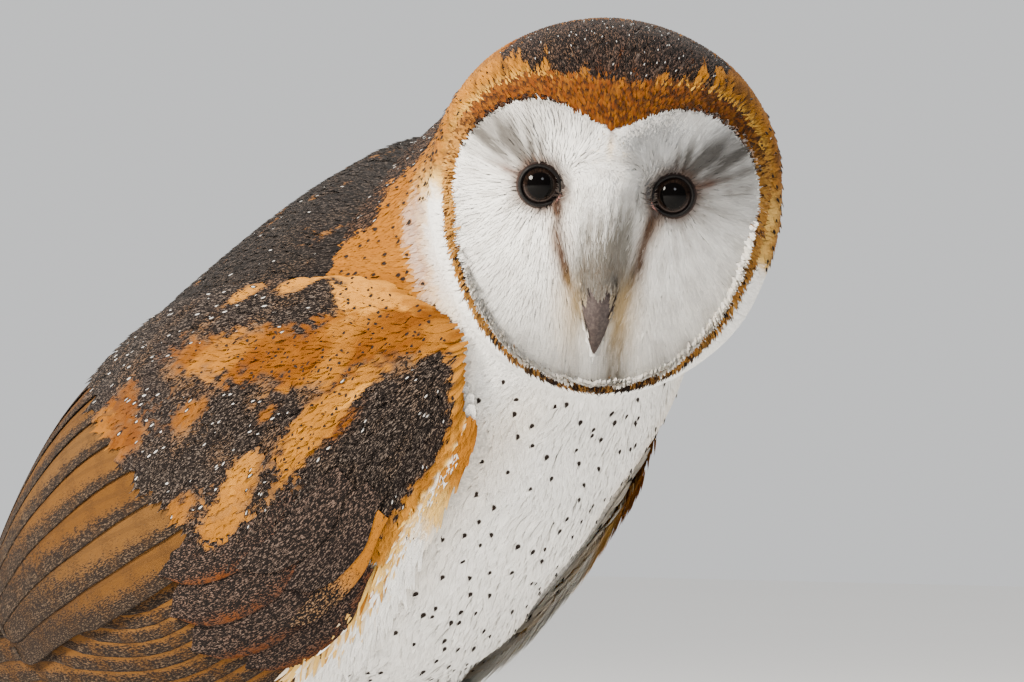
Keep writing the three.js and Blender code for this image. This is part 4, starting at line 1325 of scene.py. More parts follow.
def growFace():
    k, angle = scatter(onHead, (0.03, 0.992), (0, 2 * pi), faceDown["spacing"], 101, 0.4)
    p = onHead(k, angle)
    across, up, _ = headPlace(p)
    sign = np.where(across < 0, -1.0, 1.0)
    ray = unit(np.stack([across - sign * eye["across"], up - eye["up"]], -1))
    ridge = np.exp(-((across / 10.5) ** 4)) * smooth(13, 5, up)
    fall = unit(np.stack([-0.03 * across * smooth(-8, -24, up), -1 + 0 * across], -1))
    way = unit(mix(ray, fall, ridge))
    far = eyeDistance(across, up)
    length = faceDown["length"] * (0.75 + 0.35 * k) * (0.4 + 0.6 * smooth(6, 13, far))
    away, side = rimDistance(across, up)
    length = np.minimum(length, 0.7 - 1.15 * away + 5 * smooth(0.7, 0.5, k))
    hanging = smooth(80, 120, np.abs(side))
    tipAcross, tipUp = across + way[:, 0] * length, up + way[:, 1] * length
    bare = lambda a, b: (billFront(a, b) > -9) & (b < -30 - 0.9 * (4 - np.abs(a)))
    keep = (far > 5.9) & (eyeDistance(tipAcross, tipUp) > 6.2) & (away < -0.9)
    keep = keep & ~bare(across, up) & ~(bare(tipAcross, tipUp) & (tipUp < -32.5))
    k, angle, p, across, up, way, length, hanging = picked(keep, k, angle, p, across, up, way,
        length, hanging)
    lie = headSide * way[:, :1] + headUp * way[:, 1:]
    tract = newTract()
    rise = 0.22 + (0.15 + 0.5 * hanging) * smooth(0.88, 1, k)
    plant(tract, ontoFace, p, lie, length, faceDown["width"] * (0.8 + 0.4 * k), facePaint(across, up),
        headBake(k * 2, angle), 102, rows=5, columns=2, tip=0.1, sink=0.3, rise=rise, camber=0.0, shake=0.14,
        curl=0.12, soften=0.93, paint=lambda q: (facePaint(*headPlace(q)[:2]), 0.0), byPlace=0.6)
    # bristles: fine pale hairs that run down the ridge and close over the root of the bill
    rng = np.random.default_rng(111)
    n = 620
    up = rng.uniform(-25, -6, n)
    across = rng.uniform(-1, 1, n) * (6.6 - 0.1 * (up + 25))
    p = ontoHead(atHead(across, up, 0 * up))
    lie = headUp * -1.0 + headSide * (-0.035 * across + rng.normal(0, 0.05, n))[:, None]
    share = (0.3 + 0.6 * smooth(-8, -22, up)) * rng.random(n) ** 0.7
    tint = mix(facePaint(across, up), tone["ash"] * (0.55, 0.47, 0.4), share)
    plant(tract, ontoFace, p, lie, rng.uniform(5, 9.0, n), 0.55, tint, headBake(0.2 + 0 * up, across), 112,
        rows=6, columns=2, tip=0.1, sink=0.2, rise=0.55, camber=0.0, shake=0.08, soften=0.8)
    return finishTract("face_down", tract, feather["face"])


# the rim: short stiff feathers in close rows; over the brow they point outward, below it they lie along it
rimRows = [  # millimetres out from the rim, length, width, rise, curl
    (-2.8, 3.4, 1.2, 1.1, 1.7), (-1.9, 3.0, 1.2, 1.6, 1.6), (-1.0, 2.2, 1.1, 1.8, 1.2),
    (0.15, 3.0, 0.85, 1.4, 0.1), (0.7, 3.0, 0.85, 1.6, 0.0), (1.3, 3.0, 0.9, 1.6, 0.0),
    (1.95, 3.0, 0.95, 1.5, 0.0), (2.6, 3.0, 1.0, 1.0, 0.0), (3.3, 3.0, 1.1, 0.8, 0.0),
    (4.0, 3.0, 1.1, 0.7, 0.0),
]
# by degrees from the top
rimWidth = [[0, 4.4], [50, 3.8], [72, 3.1], [90, 2.4], [104, 1.7], [120, 1.5], [140, 2.2], [180, 2.9]]


def growRim():
    tract = newTract()
    fine = np.linspace(-pi, pi, 900)
    umber, pitch, straw = tone["brown"] * 0.9, tone["brown"] * 0.25, mix(tone["gold"], tone["cream"], 0.35)
    for row, (out, length, width, rise, curl) in enumerate(rimRows):
        line = onHead(np.full(900, 1 + out / 43), fine)
        run = np.concatenate([[0], np.cumsum(np.linalg.norm(np.diff(line, axis=0), axis=-1))])
        count = int(run[-1] / 0.6)
        rng = np.random.default_rng(200 + row)
        angle = np.interp((np.arange(count) + rng.uniform(-0.4, 0.4, count)) / count * run[-1], run, fine)
        side = np.abs(angle) / deg
        share = out / curve(rimWidth, side)
        if row < 3:  # the curled white fringe lies along the bottom and up the left side
            keep = side > np.where(angle > 0, 88, 118) + rng.normal(0, 5, count)
        else:
            keep = share < 1 + 0.25 * rng.random(count) + 0.6 * smooth(80, 60, side)
        angle, side, share = picked(keep, angle, side, share)
        count = len(angle)
        k = 1 + (out + rng.normal(0, 0.12, count)) / 43
        p = onHead(k, angle)
        outward = unit(onHead(k + 0.02, angle) - p)
        along = unit(onHead(k, angle + 0.01 * np.sign(angle)) - p)
        turned = 0.85 * smooth(58, 84, side)[:, None] * (row > 2)
        chance = rng.random(count)
        clump = wobble(angle * 43, 0 * angle, 206 + row, 1.6)
        tint = mix(straw, tone["gold"], chance)
        tint = mix(tint, mix(tone["rust"] * 1.3, tone["gold"] * 0.7, 0.7 * rng.random(count)),
            smooth(72, 50, side))
        speck = (chance > 0.5) * smooth(84, 60, side) + (chance > 0.85)
        dark = smooth(92, 106, side) * smooth(136, 126, side) * smooth(0.5, 0.3, share)
        dark = dark + smooth(128, 138, side) * smooth(156, 146, side) * smooth(0.4, 0.6, share)
        dark = dark + smooth(146, 158, side)
        dark = np.clip(dark, 0, 1) * (0.35 + 0.65 * smooth(0.25, 0.5, clump))
        tip = mix(tint, umber * 0.6, np.clip(0.8 * speck, 0, 1))
        if row < 3:
            tint = tip = mix(tone["white"], tone["cream"], 0.2 * chance)
        else:
            tint, tip = mix(tint, pitch, dark), mix(tip, pitch, dark)
        curled = curl * smooth(84, 120, side)
        plant(tract, ontoHead, p, outward * (1 - turned) + along * turned, length, width, tint,
            headBake(k, angle), 210 + row, rows=5, columns=3, tip=0.3, sink=0.9,
            rise=rise * (0.55 + 0.45 * smooth(60, 100, side)), curl=curled, camber=0.15,
            shake=0.12 + 0.14 * (row < 3), tipTint=tip, tintFrom=0.3, soften=0.8)
    return finishTract("face_rim", tract, feather["face"])


def birdZone(p):
    # the head's colours pass into the body's across the neck
    headTint, headVeil = headZone(p)
    bodyTint, bodyVeil, turnAt = bodyZone(p)
    share = np.clip(0.5 + (bodyDistance(p) - headDistance(p)) / 24, 0, 1)
    return mix(bodyTint, headTint, share), bodyVeil * (1 - share) + headVeil * share, turnAt


def backward(p):
    # the way that the coat lies on the body
    return unit(atBody(*np.add(bodyPlace(p), ([0.0], [1.0], [0.0]))) - p)


# ticks is the share of the dark feathers that carry a pale tick
headCoat = {"spacing": 1.05, "length": 4.8, "width": 1.15, "sink": 0.65, "rise": 0.2, "ticks": 0.1}


def growHead():
    # small narrow feathers from the rim back over the crown and the sides to the nape
    k, angle = scatter(onHead, (1.08, 1.95), (0, 2 * pi), headCoat["spacing"], 301, 0.4)
    p = onHead(k, angle)
    keep = bodyDistance(p) > -1.5
    k, angle, p = picked(keep, k, angle, p)
    toBody = 0.7 * smooth(16, 0, bodyDistance(p))[:, None]
    lie = unit(onHead(k + 0.02, angle) - p) * (1 - toBody) + backward(p) * toBody
    tint, veil, _ = birdZone(p)
    across, up, out = headPlace(p)
    away, round_ = rimDistance(across, up)
    brow = smooth(12, 6, away) * smooth(76, 56, np.abs(round_)) * smooth(-34, -20, out)
    rng = np.random.default_rng(302)
    n = len(k)
    chance = rng.random(n)
    warm = (1 - veil) * smooth(0.75, 0.3, tint[:, 2] / tint[:, 0] * 2)
    straw = smooth(0.08, 0.12, tint[:, 2])
    tipped = smooth(0.2, 0.0, chance) * 0.7 + brow * smooth(0.55, 0.2, chance) * 0.6
    tip = mix(tint, tone["brown"] * 0.8, warm * (1 - 0.8 * straw) * tipped)
    tick = np.where(rng.random(n) < headCoat["ticks"], 0.13, 0) * (veil > 0.5)
    size = 1 - 0.3 * brow - 0.1 * smooth(1.5, 1.15, k) + 0.25 * smooth(-30, -60, out)
    tract = newTract()
    plant(tract, ontoBird, p, lie, headCoat["length"] * size, headCoat["width"] * size, tint,
        headBake(k, angle), 303, rows=4, columns=2, tip=0.2, sink=headCoat["sink"], rise=headCoat["rise"]
        + 0.3 * brow, camber=0.0, shake=0.2, veil=veil, tick=tick, tipTint=tip, tintFrom=0.5, soften=0.85,
        paint=lambda q: birdZone(q)[:2], byPlace=0.6)
    return finishTract("head_feathers", tract, feather["soft"])


bodyCoat = (  # from back, to back, spacing, length, width, sink
    (-40, 26, 1.35, 7.5, 1.8, 0.9), (26, 188, 1.8, 11.0, 2.6, 1.2),
)


def growBody():
    # neck, breast, belly and flanks: fine narrow vanes, each drawn back along the body
    tract = newTract()
    point = lambda a, b: onSection(core, a, b)
    for row, (first, last, spacing, length, width, sink) in enumerate(bodyCoat):
        back, turnAt = scatter(point, (first, last), (0, 2 * pi), spacing, 401 + row, 0.4)
        p = point(back, turnAt)
        wide = fromBelly(turnAt)
        low, high = curve(wingLow, back), curve(wingHigh, back)
        covered = (wide > low + 24) & (back > 24) & (wide < high - 24)
        covered = covered | (wide > low + 34) & (back > 6) & (wide < high - 30)
        keep = (headDistance(p) > -1.5) & ~covered & ~((wide > 120) & (back > 30))
        back, turnAt, p = picked(keep, back, turnAt, p)
        sway = 0.7 * (wobble(back, turnAt * 60, 62, 11.0) - 0.5)
        lie = backward(p) + unit(point(back, turnAt + 0.02) - p) * sway[:, None]
        tint, veil, _ = birdZone(p)
        rng = np.random.default_rng(411 + row)
        n = len(back)
        tick = np.where(rng.random(n) < 0.12, 0.2, 0) * (veil > 0.5)
        tint = mix(tint, tone["brown"], 0.35 * smooth(0.8, 1, rng.random(n)) * (tint[:, 2] < 0.2))
        onto = ontoBird if row == 0 else ontoBody
        plant(tract, onto, p, lie, length, width, tint, bodyBake(p), 421 + row, rows=5, columns=2, tip=0.15,
            sink=sink, rise=0.3, camber=0.0, veil=veil, tick=tick, shake=0.11, soften=0.9,
            paint=lambda q: birdZone(q)[:2], byPlace=0.5)
    return finishTract("body_feathers", tract, feather["soft"])


# size is that of the dark drop on a feather
drops = {"spacing": 5.2, "onHead": 4.2, "length": 5.5, "width": 2.3, "size": (0.6, 0.95)}


def growSpots():
    # feathers with a dark drop near the tip, strewn over the neck, the breast and the flanks
    point = lambda a, b: onSection(core, a, b)
    back, turnAt = scatter(point, (-38, 150), (0, 2 * pi), drops["spacing"], 451, 0.48)
    p = point(back, turnAt)
    tint, veil, wide = birdZone(p)
    rng = np.random.default_rng(452)
    gold = smooth(0.3, 0.15, tint[:, 2])
    chance = np.maximum(0.95 * gold, 0.2 + 0.35 * wobble(back, wide, 453, 16.0))
    covered = (wide > curve(wingLow, back) + 10) & (back > 20)
    keep = (headDistance(p) > 1.0) & ~covered & (rng.random(len(p)) < chance) & (veil < 0.6)
    p, tint, gold = picked(keep, p, tint, gold)
    # the same on the golden sides of the head
    k, angle = scatter(onHead, (1.15, 1.8), (0, 2 * pi), drops["onHead"], 455, 0.48)
    beside = onHead(k, angle)
    side, sideVeil, _ = birdZone(beside)
    ok = (bodyDistance(beside) > 1) & (sideVeil < 0.4) & (side[:, 2] < 0.3) & (headPlace(beside)[1] < 26)
    p, tint, gold = (np.concatenate(pair)
        for pair in ((p, beside[ok]), (tint, side[ok]), (gold, np.ones(ok.sum()))))
    tract = newTract()
    n = len(p)
    plant(tract, ontoBird, p, backward(p), drops["length"], drops["width"], tint, bodyBake(p), 454, rows=6,
        columns=5, tip=0.5, sink=1.0, rise=0.8, camber=0.05, spot=rng.uniform(*drops["size"], n)
        * (1 - 0.2 * gold), shake=0.15, soften=0.85, paint=lambda q: (birdZone(q)[0], 0.0), byPlace=0.8)
    return finishTract("spotted_feathers", tract, feather["soft"])


def ontoFold(sink):
    inner = ontoSection(fold)
    return lambda p, grow=0.0: inner(p, grow - sink)


mantleStart = [[96, 26], [120, 22], [140, 8], [160, -9], [180, -9]]  # back, by degrees from the belly


def backPlace(p):
    x, back, up = bodyPlace(p)
    return back, np.abs(np.degrees(np.arctan2(x, -up)))


def mantleSink(p):
    # the mantle rises out of the neck's coat behind its front edge
    back, wide = backPlace(p)
    return 1.6 + 7.0 * smooth(30, -2, back - curve(mantleStart, wide))


def mantlePaint(p):
    back, wide = backPlace(p)
    stream = wide * 1.1
    tint, veil, _ = bodyZone(p)
    fine = wobble(back * 0.45, stream, 54, 2.2)
    grain = wobble(back * 0.5, stream, 56, 0.9)
    warm = smooth(0.86, 0.98, wobble(back * 0.6, stream, 55, 4.0) + 0.35 * (fine - 0.5) + 0.3 * (grain - 0.5))
    side = smooth(112, 100, wide + 8 * (fine - 0.5)) * smooth(34, 20, back)
    veil = np.maximum(veil, 0.8 * smooth(100, 114, wide)) - 0.6 * warm - 0.5 * side
    tint = mix(tint, tone["gold"], smooth(86, 100, wide))
    cloud = smooth(0.5, 0.85, wobble(back * 0.6, stream, 57, 5.0) + 0.3 * (fine - 0.5))
    tint = mix(tint, mix(np.array((0.045, 0.035, 0.028)), tone["buff"] * (0.4, 0.5, 0.9), cloud),
        smooth(0.3, 0.6, veil) * 0.9)
    veil = veil - 0.14 * cloud
    return tint, np.clip(veil + 0.16 * (grain - 0.5), 0, 1)


mantleCoat = (  # from back, to back, spacing, length, width, share of feathers with a pale tick
    (-9, 74, 1.9, 9.0, 2.6, 0.05),
    (64, 205, 3.2, 15.0, 5.2, 0.13),
)


def growMantle():
    # the upper back and the shoulder feathers that lie over the wings' upper edges
    tract = newTract()
    onto = lambda p, grow=0.0: ontoSection(fold)(p, grow - mantleSink(p))
    point = lambda a, b: onto(onSection(fold, a, b))
    for row, (first, last, spacing, length, width, ticks) in enumerate(mantleCoat):
        seed = 501 + row
        back, turnAt = scatter(point, (first, last), (96 * deg, 264 * deg), spacing, seed, 0.4)
        wide = fromBelly(turnAt)
        p = point(back, turnAt)
        left = turnAt < pi
        edge = curve(wingHigh, back - np.where(left, wingSlide(1, back), 0))
        start = curve(mantleStart, wide)
        keep = (wide > edge - 14 - 8 * (back > 40)) & (headDistance(p) > 1.0) & (back > start)
        back, p = picked(keep, back, p)
        tint, veil = mantlePaint(p)
        rng = np.random.default_rng(seed + 5)
        n = len(back)
        tick = np.where(rng.random(n) < ticks, 0.2 * rng.uniform(0.7, 1.1, n), 0) * (veil > 0.35)
        spot = np.where(rng.random(n) < 0.12, rng.uniform(0.4, 0.65, n), 0) * (veil < 0.3) * (row == 0)
        plant(tract, onto, p, backward(p), length, width, tint, bodyBake(p), seed + 7, rows=6, columns=4,
            sink=1.3, rise=0.4, camber=0.1, veil=veil, tick=tick, spot=spot, shake=0.12, tip=0.35,
            soften=0.85, paint=mantlePaint, byPlace=0.75)
    return finishTract("mantle_feathers", tract, feather["mantle"])


def wingBake(back, share):
    return np.stack([np.clip((back + 10) / 325, 0, 1), np.clip(share, 0, 1)], -1)


covertsEnd = [[0, 92], [0.4, 104], [0.7, 126], [1, 146]]


def wingPaint(side):
    return lambda p: wingZone(side, *wingPlace(side, p))


# back ends, share ends, spacing, length, width, rise, sink, size of a pale tick, and share of vanes with one
covertRows = (
    ((-8, 70), (0.0, 1.0), 1.75, 8.0, 2.3, 0.35, 2.6, 0.23, 0.07),
    ((62, 98), (0.12, 1.0), 2.5, 11.0, 3.6, 0.45, 2.5, 0.24, 0.13),
    ((90, 124), (0.36, 1.0), 3.6, 15.0, 5.6, 0.5, 2.3, 0.27, 0.22),
)


def growCoverts(side):
    # the small feathers over the folded wing, denser and shorter toward its front
    tract = newTract()
    onto = ontoFold(0)
    point = lambda a, b: wingPoint(side, a + wingFront(b) - wing["wrist"], b)
    for row, (aEnds, bEnds, spacing, length, width, rise, sink, tickSize, ticks) in enumerate(covertRows):
        seed = 600 + 10 * row + (5 if side > 0 else 0)
        a, share = scatter(point, aEnds, bEnds, spacing, seed, 0.4)
        back = a + wingFront(share) - wing["wrist"]
        limit = curve(covertsEnd, share) - length * 0.8
        keep = (back < limit) & ~((share < 0.30) & (back > 56))
        share, back = picked(keep, share, back)
        p = wingPoint(side, back, share)
        lie = wingPoint(side, back + 1, share - 0.0032) - p
        tint, veil, deep = wingZone(side, back, share)
        rng = np.random.default_rng(seed + 1)
        n = len(back)
        chance = ticks * (1 - 0.6 * deep)
        tick = np.where(rng.random(n) < chance, tickSize * rng.uniform(0.7, 1.15, n), 0) * (veil > 0.35)
        drop = (veil < 0.3) & (share > 0.12) & (rng.random(n) < 0.3 * smooth(80, 50, back) + 0.06)
        spot = np.where(drop, rng.uniform(0.35, 0.6, n), 0)
        tuck = 2.6 * smooth(14, -8, back) * smooth(0.5, 0.85, share)
        plant(tract, onto, p, lie, length, width, tint, wingBake(back, share), seed + 2, rows=6, columns=3,
            sink=sink + tuck, rise=rise - tuck, camber=0.12, veil=veil, tick=tick, spot=spot, shake=0.14,
            tip=0.3, soften=0.88, paint=wingPaint(side), byPlace=0.8)
    return tract


def longVanes(tract, point, a, b, half, seed, tint, tipTint, bake, veil=0.0, bar=0.0, tick=0.0, rows=18,
        columns=7, tilt=0.6, lift=0.0, camber=0.05, tip=0.8, patch=0.003, tintFrom=0.35, tipVeil=None,
        edgeVeil=0.0, edgeShadow=0.0, paint=None):
    # long feathers: point(a, b, lift) is the sheet they lie in, a (n, rows) runs along each and b is its
    # middle line; half is the vane's half width in millimetres, tilt lifts one edge over the next feather;
    # edgeVeil veils the lower edge, edgeShadow paints a shadow line along it, and paint(points) gives tint
    # and veil by place
    n = len(a)
    rng = np.random.default_rng(seed)
    u = np.broadcast_to(np.linspace(0, 1, rows), (n, rows))
    at = point(a, b, 0)
    beside = point(a, b + 0.01, 0)
    perShare = np.linalg.norm(beside - at, axis=-1) / 0.01
    v = np.sin(pi / 2 * np.linspace(-1, 1, columns))
    width = half[:, None] * vaneWidth(u, tip)
    y = width[..., None] * v
    aa = a[..., None] - (a[:, -1:] - a[:, :1])[..., None] * 0.035 * v**2 * u[..., None] ** 3
    bb = b[..., None] + y / perShare[..., None]
    up = lift + tilt * v * np.minimum(half[:, None, None] / 8, 1.5) * smooth(0, 0.3, u)[..., None]
    up = up - camber * width[..., None] * v**2
    q = point(aa, bb, up)
    normals = blendNormals(q, unit(point(aa, bb, up + 1.0) - q), 0.35)
    x = np.concatenate([np.zeros((n, 1)), np.cumsum(np.linalg.norm(np.diff(at, axis=1), axis=-1), axis=1)], 1)
    seeds = rng.random(n)
    wide = lambda value: np.broadcast_to(value, (n, rows, columns))
    full = lambda value: np.broadcast_to(np.asarray(value, float), (n,))[:, None, None]
    share = wide(smooth(tintFrom, tintFrom + 0.4, u)[..., None])
    tint = np.broadcast_to(tint, (n, 3))[:, None, None]
    tipTint = np.broadcast_to(tipTint, (n, 3))[:, None, None]
    col = tint * (1 - share[..., None]) + tipTint * share[..., None]
    veil = full(veil) * (1 - share) + full(veil if tipVeil is None else tipVeil) * share
    if paint:
        placeTint, placeVeil = paint(q)[:2]
        col = col * 0.3 + placeTint * 0.7
        veil = veil * 0.4 + placeVeil * 0.6
    veil = veil + full(edgeVeil) * wide(smooth(-0.5, -0.8, v))
    # painted shadow: a dark line along each vane's lower edge
    col = col * (1 - full(edgeShadow) * wide(smooth(-0.86, -1, v)))[..., None]
    col = col * rng.normal(1, 0.07, n)[:, None, None, None]
    place, sizes = (u[..., None], v, seeds[:, None, None]), (full(x[:, -1]), full(bar), full(half * 2))
    return addVanes(tract, q, normals, (x[..., None], y), col, (veil, 0.0, full(tick)), place, sizes,
        bake, patch)


def thicken(piece):
    # gives vanes their thickness; the underside is paler
    piece.data.materials.append(feather["under"])
    solid = piece.modifiers.new("vane thickness", "SOLIDIFY")
    solid.thickness, solid.offset = 0.3 * mm, -1
    solid.material_offset, solid.material_offset_rim = 1, 0


# the wing's long feathers: their ends lie back along the body, and half is a vane's half width
greater = {"count": 17, "length": 42.0, "half": 7.6}
primaryCoverts = {"share": (0.06, 0.32), "end": (121, 131, 128, 122), "length": 58, "half": (8.0, 10, 10, 9)}
thumb = {"share": (0.095, 0.165, 0.265), "end": (97, 87, 95), "length": (50, 44, 48), "half": (5.0, 8.5, 9.0)}
fringe = {"count": 640, "length": 7, "longer": 10, "width": 1.5}
quills = {
    "secondaries": {"count": 9, "half": 11.5, "end": [[0, 206], [0.35, 228], [0.75, 246], [1, 240]]},
    "primaries": {"count": 10, "half": 8.5, "end": [[0, 232], [0.3, 280], [0.6, 312], [1, 290]]},
}
lining = {"spacing": 2.6, "length": 9, "width": 3.6}


def addLongCoverts(tract, side, rng):
    point = lambda a, b, lift: wingPoint(side, a, b, -lift)
    # greater coverts, a row of broad feathers over the quills
    n = greater["count"]
    share = np.linspace(0.34, 0.97, n) + rng.normal(0, 0.004, n)
    end = curve(covertsEnd, share) + rng.normal(0, 2, n)
    u = np.linspace(0, 1, 14)
    back = (end - greater["length"])[:, None] + greater["length"] * u
    tint, veil, _ = wingZone(side, end - 12, share)
    longVanes(tract, point, back, share[:, None] + 0 * back, np.full(n, greater["half"]), 701, tint, tint,
        wingBake(end - 30, share), veil=veil * 0.9, tick=0.3 * (rng.random(n) < 0.8), rows=14, columns=7,
        tilt=-0.45, lift=-0.5, tip=0.5, edgeVeil=0.1, edgeShadow=0.4, paint=wingPaint(side))
    # primary coverts: dark brown with orange edges
    share = np.linspace(*primaryCoverts["share"], 4)
    end = np.array(primaryCoverts["end"], float)
    back = (end - primaryCoverts["length"])[:, None] + primaryCoverts["length"] * u
    longVanes(tract, point, back, share[:, None] + 0 * back, np.array(primaryCoverts["half"]), 702,
        tone["rust"], tone["orange"] * (0.6, 0.6, 0.8), wingBake(end - 30, share), veil=0.85, tipVeil=0.7,
        rows=14, columns=9, tilt=-0.5, lift=-0.2, tip=0.55, edgeVeil=-0.28, edgeShadow=0.5)
    # the thumb's three broad feathers, dark with pale ends
    share, end, length = (np.array(thumb[key], float) for key in ("share", "end", "length"))
    back = (end - length)[:, None] + length[:, None] * u
    longVanes(tract, point, back, share[:, None] + 0 * back, np.array(thumb["half"]), 703,
        np.stack([tone["gold"], tone["rust"], tone["rust"]]),
        np.stack([tone["buff"] * 1.1, tone["rust"] * 0.7, tone["rust"] * 0.7]), wingBake(end - 30, share),
        veil=(0.42, 0.95, 0.95), tipVeil=(0.62, 1.05, 1.05), rows=14, columns=7, tilt=-0.6, lift=0.2, tip=0.5,
        edgeShadow=0.3)


def addFringe(tract, side, rng):
    # the silky pale fringe along the wing's lower front edge
    n = fringe["count"]
    back = rng.uniform(7, 104, n)
    share = rng.uniform(-0.05, 0.03, n)
    p = wingPoint(side, back, share, 0.2)
    lie = wingPoint(side, back + 1, share - 0.001 - 0.0035 * rng.random(n), 0.2) - p
    tint = mix(tone["white"], tone["cream"], smooth(0.0, 0.02, share + rng.normal(0, 0.006, n)))
    tint = mix(tint, tone["gold"], smooth(0.022, 0.034, share + rng.normal(0, 0.004, n)))
    tint = mix(mix(tint, tone["cream"], smooth(38, 26, back)), tone["gold"], smooth(26, 16, back))
    plant(tract, ontoFold(0.3), p, lie, fringe["length"] + fringe["longer"] * smooth(4, 34, back),
        fringe["width"], tint, wingBake(back, share), 704, rows=6, columns=2, sink=1.6, rise=0.5, shake=0.07,
        camber=0.0, tip=0.1, soften=0.75)


def growQuills(sideName, side, rng):
    point = lambda a, b, lift: wingPoint(side, a, b, -lift)
    tract = newTract()
    # secondaries: the inner ones lie over the outer
    n = quills["secondaries"]["count"]
    v = np.linspace(0.03, 0.97, n)
    share = 0.34 + 0.66 * v
    start = curve(covertsEnd, share) - 26
    end = curve(quills["secondaries"]["end"], v) + rng.normal(0, 1.5, n)
    back = start[:, None] + (end - start)[:, None] * (1 - np.linspace(1, 0, 22) ** 1.35)
    warm = 0.2 + 0.5 * rng.random(n)
    tint = mix(tone["buff"] * 0.38, tone["gold"] * 0.36, warm)
    tint = mix(tint, tone["brown"] * 1.1, 0.75 * smooth(0.55, 0.95, v))
    longVanes(tract, point, back, share[:, None] + 0 * back, np.full(n, quills["secondaries"]["half"]), 710,
        tint, tint * 0.6, wingBake(start + 10, share), veil=0.36 + 0.2 * smooth(0.5, 1, v), tipVeil=0.5,
        bar=0.3, rows=22, columns=11, tilt=-0.7, lift=-0.8, edgeVeil=0.4, edgeShadow=0.85)
    # primaries: the long quills that make the wing's tip
    n = quills["primaries"]["count"]
    v = np.linspace(0.04, 0.96, n)
    end = curve(quills["primaries"]["end"], v)
    start = curve(covertsEnd, 0.34 * v) - 20
    back = start[:, None] + (end - start)[:, None] * np.linspace(0, 1, 28)
    share = (0.32 + 0.62 * smooth(130, 262, back)) * v[:, None]
    lower = lambda a, b, lift: wingPoint(side, a, b,
        0.9 + 2.4 * smooth(0.14, 0.30, b) * smooth(240, 200, a) - lift)
    tint = mix(tone["buff"] * 0.4, tone["gold"] * 0.38, 0.4 + 0.3 * rng.random(n))
    longVanes(tract, lower, back, share, np.full(n, quills["primaries"]["half"]), 711, tint, tint * 0.6,
        wingBake(start + 10, share[:, 0]), veil=0.34, tipVeil=0.5, bar=0.6, rows=28, columns=9, tilt=-0.6,
        lift=0.0, edgeVeil=0.35, edgeShadow=0.7)
    piece = finishTract("wing_quills_" + sideName, tract, feather["quill"],
        ["wing_secondaries_" + sideName, "wing_primaries_" + sideName])
    thicken(piece)
    return piece


def growLining(sideName, side, rng):
    # pale feathers with dark spots on the wing's inner face
    tract = newTract()
    depth = lambda a, b: 3.1 + 2.8 * smooth(0, 0.26, b) - 2.4 * smooth(0.05, -0.03, b) * smooth(95, 70, a)
    point = lambda a, b: wingPoint(side, a, b, depth(a, b))
    back, share = scatter(point, (2, 176), (-0.04, 0.42), lining["spacing"], 720, 0.35)
    keep = (share > 0.01) | (back > 34)
    back, share = picked(keep, back, share)
    p = point(back, share)
    sunk = depth(back, share)[:, None, None]
    inner = lambda q, grow=0.0: ontoSection(fold)(q, -(sunk[:, 0, 0] if q.ndim == 2 else sunk) - grow)
    lie = point(back + 1, share - 0.0012) - p
    n = len(back)
    tint = mix(tone["white"] * 0.85, tone["cream"] * 0.9,
        0.6 * smooth(0.06, 0.0, share) * wobble(back, share, 64, 12.0))
    tint = mix(tint, tone["ash"] * 1.3, 0.4 * wobble(back, share * 100, 63, 9.0))
    spot = np.where(rng.random(n) < 0.16, rng.uniform(0.9, 1.4, n), 0)
    plant(tract, inner, p, lie, lining["length"], lining["width"], tint, wingBake(back, share), 721, rows=5,
        columns=3, sink=0.2, rise=0.7, shake=0.12, spot=spot, tip=0.4)
    return finishTract("wing_lining_" + sideName, tract, feather["soft"])


def growWing(sideName, side):
    rng = np.random.default_rng(700 + side)  # one draw of chances for the whole wing
    tract = growCoverts(side)
    addLongCoverts(tract, side, rng)
    addFringe(tract, side, rng)
    covert = finishTract("wing_covert_feathers_" + sideName, tract, feather["covert"],
        ["wing_coverts_" + sideName])
    return covert, growQuills(sideName, side, rng), growLining(sideName, side, rng)


tail = {"start": 160, "end": 300, "rootHalf": 15, "endHalf": 27, "sag": 5, "drop": -11, "half": 7.4}
tailCoverts = {"spacing": 5.0, "length": 26, "width": 10}


